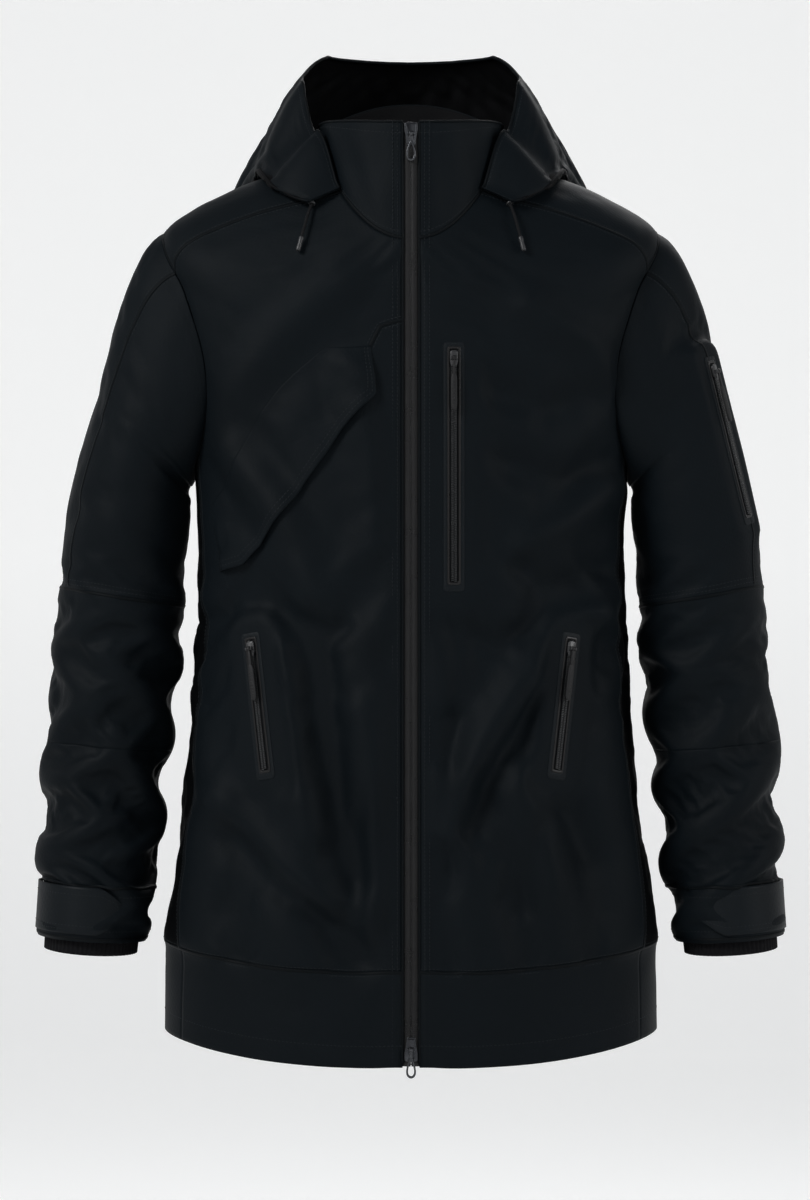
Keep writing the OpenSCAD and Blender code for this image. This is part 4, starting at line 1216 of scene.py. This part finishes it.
def soft_levels(h0, h1, r):
    """How far in and how high the outlines of a softened edge lie, from h0 up to h1."""
    return [(r, h0), (0.3 * r, h0 + 0.3 * r), (0, h0 + r), (0, h1 - r), (0.3 * r, h1 - 0.3 * r), (r, h1)]


def plate(outline, h0, h1, r=0.25, axis="out"):
    """A plate with softened edges."""
    levels = soft_levels(h0, h1, r)
    v = np.concatenate([np.column_stack([inset(outline, d), np.full(len(outline), h)]) for d, h in levels])
    return v[:, ORDER[axis]], tube_faces(len(levels), len(outline))


def hoop(outer, inner, h0, h1, r=0.3, axis="out"):
    """A plate with one hole; both outlines have the same number of points."""
    levels = soft_levels(h0, h1, r)
    rows = [(outer, d, h) for d, h in levels] + [(inner, -d, h) for d, h in levels[::-1]]
    v = np.concatenate([np.column_stack([inset(o, d), np.full(len(o), h)]) for o, d, h in rows])
    return v[:, ORDER[axis]], (grid_faces(len(rows) + 1, len(outer), True) % len(v)).tolist()


def circle(x, z, r, n=40):
    t = np.linspace(0, 2 * math.pi, n, endpoint=False)
    return np.stack([x + r * np.cos(t), z + r * np.sin(t)], -1)


def strip(profile, z0, z1, n=260):
    """A long strip with a closed profile of (sideways, outwards) points."""
    prof = np.array(profile, float)
    g = np.empty((n, len(prof), 3))
    g[..., 0], g[..., 1], g[..., 2] = prof[:, 0], prof[:, 1], np.linspace(z0, z1, n)[:, None]
    return g.reshape(-1, 3), tube_faces(n, len(prof))


def facing(parts):
    """Turns the faces of closed parts outwards, by the sign of their volume in a right-handed frame."""
    done = []
    for v, f in parts:
        q = np.asarray(v) * [1, -1, 1]
        vol = 0.0
        for p in f:
            for i in range(1, len(p) - 1):
                vol += np.dot(q[p[0]], np.cross(q[p[i]], q[p[i + 1]]))
        done.append((v, f if vol > 0 else [g[::-1] for g in f]))
    return done


def row_of(part, zs):
    """Copies of a part along a zip."""
    v, f = part
    return [(v + [0, 0, z], f) for z in zs]


def fitted(name, f, parts, body_name, mats, replaces=(), index=None):
    """Joins parts made in a zip's frame and lays them in place."""
    v, faces = joined(parts)
    idx = [index[n] if index else 0 for n, (_, fs) in enumerate(parts) for _ in fs]
    w = f[0] + v[:, :1] * f[1] + v[:, 1:2] * f[2] + v[:, 2:] * f[3]
    if f[4]:
        w = w * [-1, 1, 1]
        faces = [q[::-1] for q in faces]
    return piece(name, w, faces, body_name, mats, v[:, [0, 2]] * 0.001, idx, replaces)


# ---------------------------------------------------------------- main zip
TAPE = [(0.35, -0.75), (0.55, -0.5), (3.2, -0.55), (5.0, -1.4), (16.0, -1.5), (16.0, -2.2), (5.0, -2.2),
        (3.4, -2.1), (2.6, -0.95), (0.6, -0.95)]
TOOTH = rounded([(-0.35, -0.45), (3.1, -0.62), (3.1, 0.62), (-0.35, 0.45)], 0.25, 2)
PITCH = 2.5   # between the teeth of one side; the other side's lie half way
for side, word in SIDES:
    f = on_side(MAIN, side)
    fitted("tape_" + word, f, facing([strip(TAPE, ZIP_END, ZIP_TOP)]), "jacket", ["film"],
           ["main_zip_tape_" + word])
    zs = np.arange(ZIP_END + 1.5 + (0 if side > 0 else PITCH / 2), ZIP_TOP - 1.5, PITCH)
    fitted("teeth_" + word, f, row_of(facing([plate(TOOTH, -2.9, -1.0, 0.2)])[0], zs), "jacket",
           ["teeth"], ["main_zip_teeth_" + word])
    # the cloth's edge beside the zip, from the hem up to the collar's top
    v = np.linspace(0.004, 1, 300)
    th = front_angle(v) if side > 0 else 180 - front_angle(v)
    p, n = collar(np.full(60, COLLAR_A if side > 0 else 180 - COLLAR_A), np.linspace(0.02, 0.99, 60))
    p, n = np.concatenate([torso(th, v), p]), np.concatenate([body_n(th, v), n])
    ribbons("front_edge_" + word, [(p, n)], 2.2, 0.55, sink=0.9)
    stitches("front_stitches_" + word, [(p + [side * x, 0, 0], n) for x in (4.5, 8.5)], high=0.4)

x = np.linspace(-16, 22, 16)[None, :, None]
z = np.linspace(ZIP_END + 4, ZIP_TOP - 3, 180)[:, None, None]
storm = MAIN[0] + MAIN[1] * x + MAIN[2] * (-6.2 - 0.25 * np.sin(x * 0.9)) + MAIN[3] * z
cloth_shell("storm", storm, 0.8, mats=("lining", "lining"), replaces=["storm_flap"])


def slider_ears(base, pin_out):
    """Ears and pin of a slider whose top plate ends at `base`."""
    ear = rounded([(-2, base - 0.4), (2, base - 0.4), (1.5, pin_out + 0.6), (0.9, pin_out + 1.3),
                   (-0.9, pin_out + 1.3), (-1.5, pin_out + 0.6)], 0.5, 4)
    pin = np.array([0, pin_out]) + circle(0, 0, 0.78, 20)
    ears = [plate(ear, s * 2.3 - 0.5, s * 2.3 + 0.5, 0.2, "x") for s in (-1, 1)]
    return ears + [plate(pin, -2.75, 2.75, 0.2, "x")]


EYE = hoop(circle(0, 0, 2.0), circle(0, 0, 0.86), -1.5, 1.5, 0.2, "x")   # a puller's end, bored for the pin
SLIDER = np.array([(-3.7, -10), (3.7, -10), (4.1, -4), (5.5, 2.5), (5.5, 9), (3.2, 10), (-3.2, 10), (-5.5, 9),
                   (-5.5, 2.5), (-4.1, -4)])
SLIDER_R = [1.2, 1.2, 3, 2, 1.5, 1, 1, 1.5, 2, 3]
PIN_OUT = 3.3


def main_slider(name, z, way, body_name):
    """Two plates joined by side walls. way -1 points it down the zip."""
    turned_over = (lambda o: o) if way > 0 else (lambda o: (np.array(o) * [1, -1])[::-1])
    o = rounded(turned_over(SLIDER), SLIDER_R if way > 0 else np.roll(SLIDER_R, -2), 5)
    parts = [plate(o, -0.28, 1.0, 0.45), plate(inset(o, 1.4), 0.8, 1.35, 0.35), plate(o, -4.8, -3.4, 0.45)]
    for s in (-1, 1):
        wall = [(s * 4.0, -9), (s * 4.9, -2), (s * 5.4, 3), (s * 5.4, 8.6), (s * 4.9, 8.6), (s * 4.8, 3)][::s]
        parts.append(plate(turned_over(rounded(wall, 0.2, 2)), -4.0, -3.2, 0.15))
    parts = facing(parts + slider_ears(1.0, PIN_OUT))
    fitted(name + "_body", moved(MAIN, z), parts, body_name, ["metal"], ["main_" + name])


def drop_shape(wide, top, low):
    """A drop's outline, widest near its lower end."""
    t = np.linspace(0, 2 * math.pi, 60, endpoint=False)
    x = wide * np.sin(t) * (0.62 - 0.38 * np.cos(t)) / 0.86
    return np.stack([x, -((top + low) / 2 - (low - top) / 2 * np.cos(t))], -1)[::-1]


def ring_pull(name, z, body_name, node_name):
    parts = [hoop(drop_shape(5.0, 5.2, 23.6), drop_shape(3.0, 8.6, 21.6), -0.8, 0.8, 0.35),
             plate(box(-1.5, 1.5, -6.6, -1.7, 0.3, 3), -0.8, 0.8, 0.25), EYE]
    fitted(name, moved(MAIN, z, PIN_OUT), facing(parts), body_name, ["ring"], [node_name])


for end, z, way in (("top", 14, 1), ("bottom", ZIP_END + 14, -1)):
    main_slider("slider_" + end, z, way, end + "_slider")
    ring_pull("pull_" + end, z, end + "_pull", "main_pull_" + end)


# ---------------------------------------------------------------- pocket zips
def pocket_zip(name, f, length, base, bodies, nodes):
    """A bonded welt, coated tape, two rows of coils, a slider and a moulded puller.

    bodies are the slider's and the puller's; nodes are the welt, teeth, slider and puller.
    """
    inner = box(-3.8, 3.8, -length, 8, 1.6, 9)
    welt = hoop(box(-8.8, 8.8, -length - 7.8, 13.8, 3.5, 9), inner, base - 1.0, base + 0.25, 0.2)
    lips = hoop(box(-5.6, 5.6, -length - 2.2, 10.2, 2.2, 9), inner, base - 0.4, base + 0.8, 0.35)
    fitted(name + "_welt", f, facing([welt, lips]), "jacket", ["laminate", "film"], [nodes[0]],
           index=[0, 1])
    tapes = [box(x, x + 3.62, -length - 0.4, 8.3, 0.1, 2) for x in (-3.9, 0.28)]
    tapes = [plate(t, base - 0.9, base + 0.1, 0.1) for t in tapes]
    fitted(name + "_tape", f, facing(tapes), "jacket", ["tape"])
    one = facing([plate(box(0.15, 2.3, -0.42, 0.42, 0.3, 3), base + 0.05, base + 1.75, 0.3)])[0]
    other = facing([(one[0] * [-1, 1, 1], one[1])])[0]
    zs = np.arange(-length + 1.0, 7.2, 1.45)
    coils = row_of(one, zs) + row_of(other, zs[:-1] + 0.72)
    fitted(name + "_teeth", f, coils, "jacket", ["teeth"], [nodes[1]])
    ring = box(-7.6, 7.6, -length - 6.6, 12.6, 3.2, 9)
    ring = np.concatenate([ring, ring[:1]])
    pts = f[0] + ring[:, :1] * f[1] + (base + 0.2) * f[2] + ring[:, 1:] * f[3]
    flip = [-1 if f[4] else 1, 1, 1]
    stitches(name + "_stitches", [(pts * flip, np.tile(f[2] * flip, (len(pts), 1)))], pitch=2.8, length=1.9,
             wide=0.45, high=0.28)
    top = base + 1.8
    pin = top + 3.5
    o = rounded([(-2.4, -6.5), (2.4, -6.5), (3.4, -2.5), (3.4, 5.2), (2.2, 6.5), (-2.2, 6.5), (-3.4, 5.2),
                 (-3.4, -2.5)], [0.8, 0.8, 1.5, 1, 0.8, 0.8, 1, 1.5], 4)
    parts = [plate(o, top + 0.3, top + 1.1, 0.3), plate(inset(o, 0.9), top + 0.9, top + 1.35, 0.2)]
    parts += [plate(box(x, x + 0.8, -3.5, 5.6, 0.2, 2), base + 0.4, top + 0.5, 0.15) for x in (-3.4, 2.6)]
    fitted(name + "_slider", f, facing(parts + slider_ears(top + 1.1, pin)), bodies[0],
           ["black_metal"], [nodes[2]])
    grip = rounded([(-1.7, -44), (1.7, -44), (2.6, -41), (2.6, -17), (1.5, -13), (-1.5, -13), (-2.6, -17),
                    (-2.6, -41)], 1.4, 4)
    neck = rounded([(-1.4, -14.5), (1.4, -14.5), (1.1, -1.75), (-1.1, -1.75)], 0.2, 2)
    parts = [EYE, plate(neck, -0.85, 0.85, 0.3), plate(grip, -1.15, 1.15, 0.6)]
    for z in np.arange(-38.5, -19, 2.6):
        parts.append(plate(box(-1.9, 1.9, z - 0.55, z + 0.55, 0.5, 3), -1.4, 1.4, 0.3))
    fitted(name + "_pull", moved(f, 0, pin), facing(parts), bodies[1], ["rubber"],
           [nodes[3]])


pocket_zip("chest_zip", CHEST, CHEST_L, 0.3, ("chest_slider", "chest_pull"),
           ("chest_pocket_welt", "chest_pocket_teeth", "chest_slider", "chest_pull"))
for side, word in SIDES:
    slider, pull = "hand_slider_" + word, "hand_pull_" + word
    pocket_zip("hand_zip_" + word, on_side(HAND, side), HAND_L, 0, (slider + "_body", pull + "_body"),
               ("hand_pocket_welt_" + word, "hand_pocket_teeth_" + word, slider, pull))
pocket_zip("sleeve_zip", UPPER, UPPER_L, 0, ("sleeve_slider_body", "sleeve_pull_body"),
           ("sleeve_pocket_welt", "sleeve_pocket_teeth", "sleeve_slider", "sleeve_pull"))


# ---------------------------------------------------------------- inside: pocket bag and powder skirt
th, v = np.linspace(-82.5, -58, 40)[None], np.linspace(0.57, 0.83, 90)[:, None]
p = torso(th, v) - torso_n(th, v) * 4.2
cloth_shell("pocket_bag", p, 1.4, "jacket", ("lining", "lining"), replaces=["chest_pocket_bag"])
th, u = np.linspace(-78, 258, 260)[None], np.linspace(0, 1, 40)[:, None]
v = lerp(0.15, 0.30, u)
ripple = 1.3 * np.sin(np.radians(th * 9)) * (1 - u) ** 1.5
p = body(th, v) + body_n(th, v) * (-lerp(26.0, 12.0, ease(u)) + ripple)[..., None]
cloth_shell("skirt", p, 0.8, "jacket", ("lining", "lining"), replaces=["powder_skirt"])
elastic = (p[1], unit(np.cross(np.gradient(p[1], axis=0), p[2] - p[0])))
ribbons("skirt_elastic", [elastic], 9.0, 0.8, "jacket", "webbing", sink=0.4)


# ---------------------------------------------------------------- hood drawcords
ROUTE = np.array([(84, -78, -43), (85, -80, -46), (86, -82, -49), (87, -84, -52), (88, -87, -56),
                  (89, -89, -60), (90, -91, -64), (91, -93, -68), (92, -94, -72)], float)


CORD_R = 1.3
# (radius, along) points of the cord's tip and of its eyelet
TIP = [(1.5, 0), (1.9, 0.4), (2.1, 1.2), (2.0, 4), (1.75, 6), (2.0, 8), (2.1, 11.6), (1.9, 12.6), (1.4, 13)]
EYELET = [(2.4, 0), (3.0, 0.15), (3.2, 0.5), (3.2, 1.1), (2.9, 1.5), (1.8, 1.6)]


def around(centres, d, radii, n):
    """A closed tube of rings of n points, each square to d."""
    a = unit(np.cross(d, [1, 0, 0]))
    b = np.cross(d, a)
    w = np.linspace(0, 2 * math.pi, n, endpoint=False)
    ring = np.cos(w)[None, :, None] * a[:, None] + np.sin(w)[None, :, None] * b[:, None]
    return (centres[:, None] + radii * ring).reshape(-1, 3), tube_faces(len(centres), n)


def tube(path, r, n=12, steps=6):
    t = np.linspace(0, len(path) - 1, (len(path) - 1) * steps + 1)
    p = np.stack([np.interp(t, range(len(path)), path[:, k]) for k in range(3)], -1)
    return around(p, unit(np.gradient(p, axis=0)), r, n)


def turned(at, d, outline, n=28):
    """A turned piece from (radius, along) points, closed at both ends."""
    o = np.array(outline, float)
    return around(at + d * o[:, 1:], np.tile(unit(d), (len(o), 1)), o[:, 0][:, None, None], n)


eyelets = []
for side, word in SIDES:
    r = ROUTE * [side, 1, 1]
    d0, d1 = unit(r[0] - r[1]), unit(r[-1] - r[-2])
    eyelets.append(turned(r[0] + d0 * 0.05, d0, EYELET))
    v, f = tube(r, CORD_R)
    o = piece("drawcord_" + word, v, f, "jacket", ["braid"], replaces=["hood_cord_" + word])
    v, f = turned(r[-1] + d1 * 0.05, d1, TIP)
    tip = piece("cord_tip_" + word, v, f, "jacket", ["moulded"], replaces=["hood_cord_tips"])
v, f = joined(eyelets)
piece("eyelets", v, f, "jacket", ["black_metal"], replaces=["hood_eyelets"])

# ---------------------------------------------------------------- floor, backdrop and light
# A floor that curves up into a wall all round, in metres: close behind the jacket, far off elsewhere.
FLOOR_Z, COVE, WALL = -1.45, 1.2, 7.0
BEHIND, ELSEWHERE, SPOKES = 6.5, 20.0, 120
way = np.linspace(0, 2 * math.pi, SPOKES, endpoint=False)
far = 1 / np.hypot(np.cos(way) / ELSEWHERE, np.sin(way) / np.where(np.sin(way) > 0, BEHIND, ELSEWHERE))
arc = np.linspace(0, math.pi / 2, 20)
flat = np.array([0.001, 0.25, 0.5, 0.75])[:, None] * (far - COVE)
rr = np.concatenate([flat, far - COVE + COVE * np.sin(arc)[:, None], far[None]])
zz = np.concatenate([[0.0] * 4, COVE - COVE * np.cos(arc), [WALL]])[:, None]
verts = np.stack(np.broadcast_arrays(rr * np.cos(way), rr * np.sin(way), FLOOR_Z + zz), -1).reshape(-1, 3)
me = bpy.data.meshes.new("floor")
me.from_pydata(verts.tolist(), [], grid_faces(len(zz), SPOKES, True).tolist() + [list(range(SPOKES))])
me.polygons.foreach_set("use_smooth", np.ones(len(me.polygons), bool))
m, nt, b = material("floor", (0.84, 0.84, 0.83), rough=0.8, specular=0.1)
b.inputs["Emission Color"].default_value = (1, 1, 1, 1)
b.inputs["Emission Strength"].default_value = 0.28
me.materials.append(m)
floor = bpy.data.objects.new("floor", me)
bpy.context.scene.collection.objects.link(floor)
for name, at, aim_z, size, watts in (
    ("key", (-2.1, -1.9, 1.6), -0.35, 1.1, 104),
    ("fill", (2.5, -1.2, 0.7), -0.4, 1.2, 34),
    ("front", (0.2, -3.2, 0.4), -0.45, 2.2, 8),
    ("back", (0.6, 2.2, 1.7), -0.3, 1.6, 40),
):
    lamp = bpy.data.lights.new(name, "AREA")
    lamp.shape, lamp.size, lamp.energy = "SQUARE", size, watts
    o = bpy.data.objects.new(name, lamp)
    o.location = at
    o.rotation_euler = (Vector((0, 0, aim_z)) - Vector(at)).to_track_quat("-Z", "Y").to_euler()
    bpy.context.scene.collection.objects.link(o)
world = bpy.data.worlds.new("world")
bpy.context.scene.world = world
world.use_nodes = True
sky = world.node_tree.nodes["Background"]
sky.inputs["Color"].default_value = (0.9, 0.93, 1.0, 1)
sky.inputs["Strength"].default_value = 0.28

scene = bpy.context.scene
scene.render.engine = "CYCLES"
scene.view_settings.view_transform = "Standard"
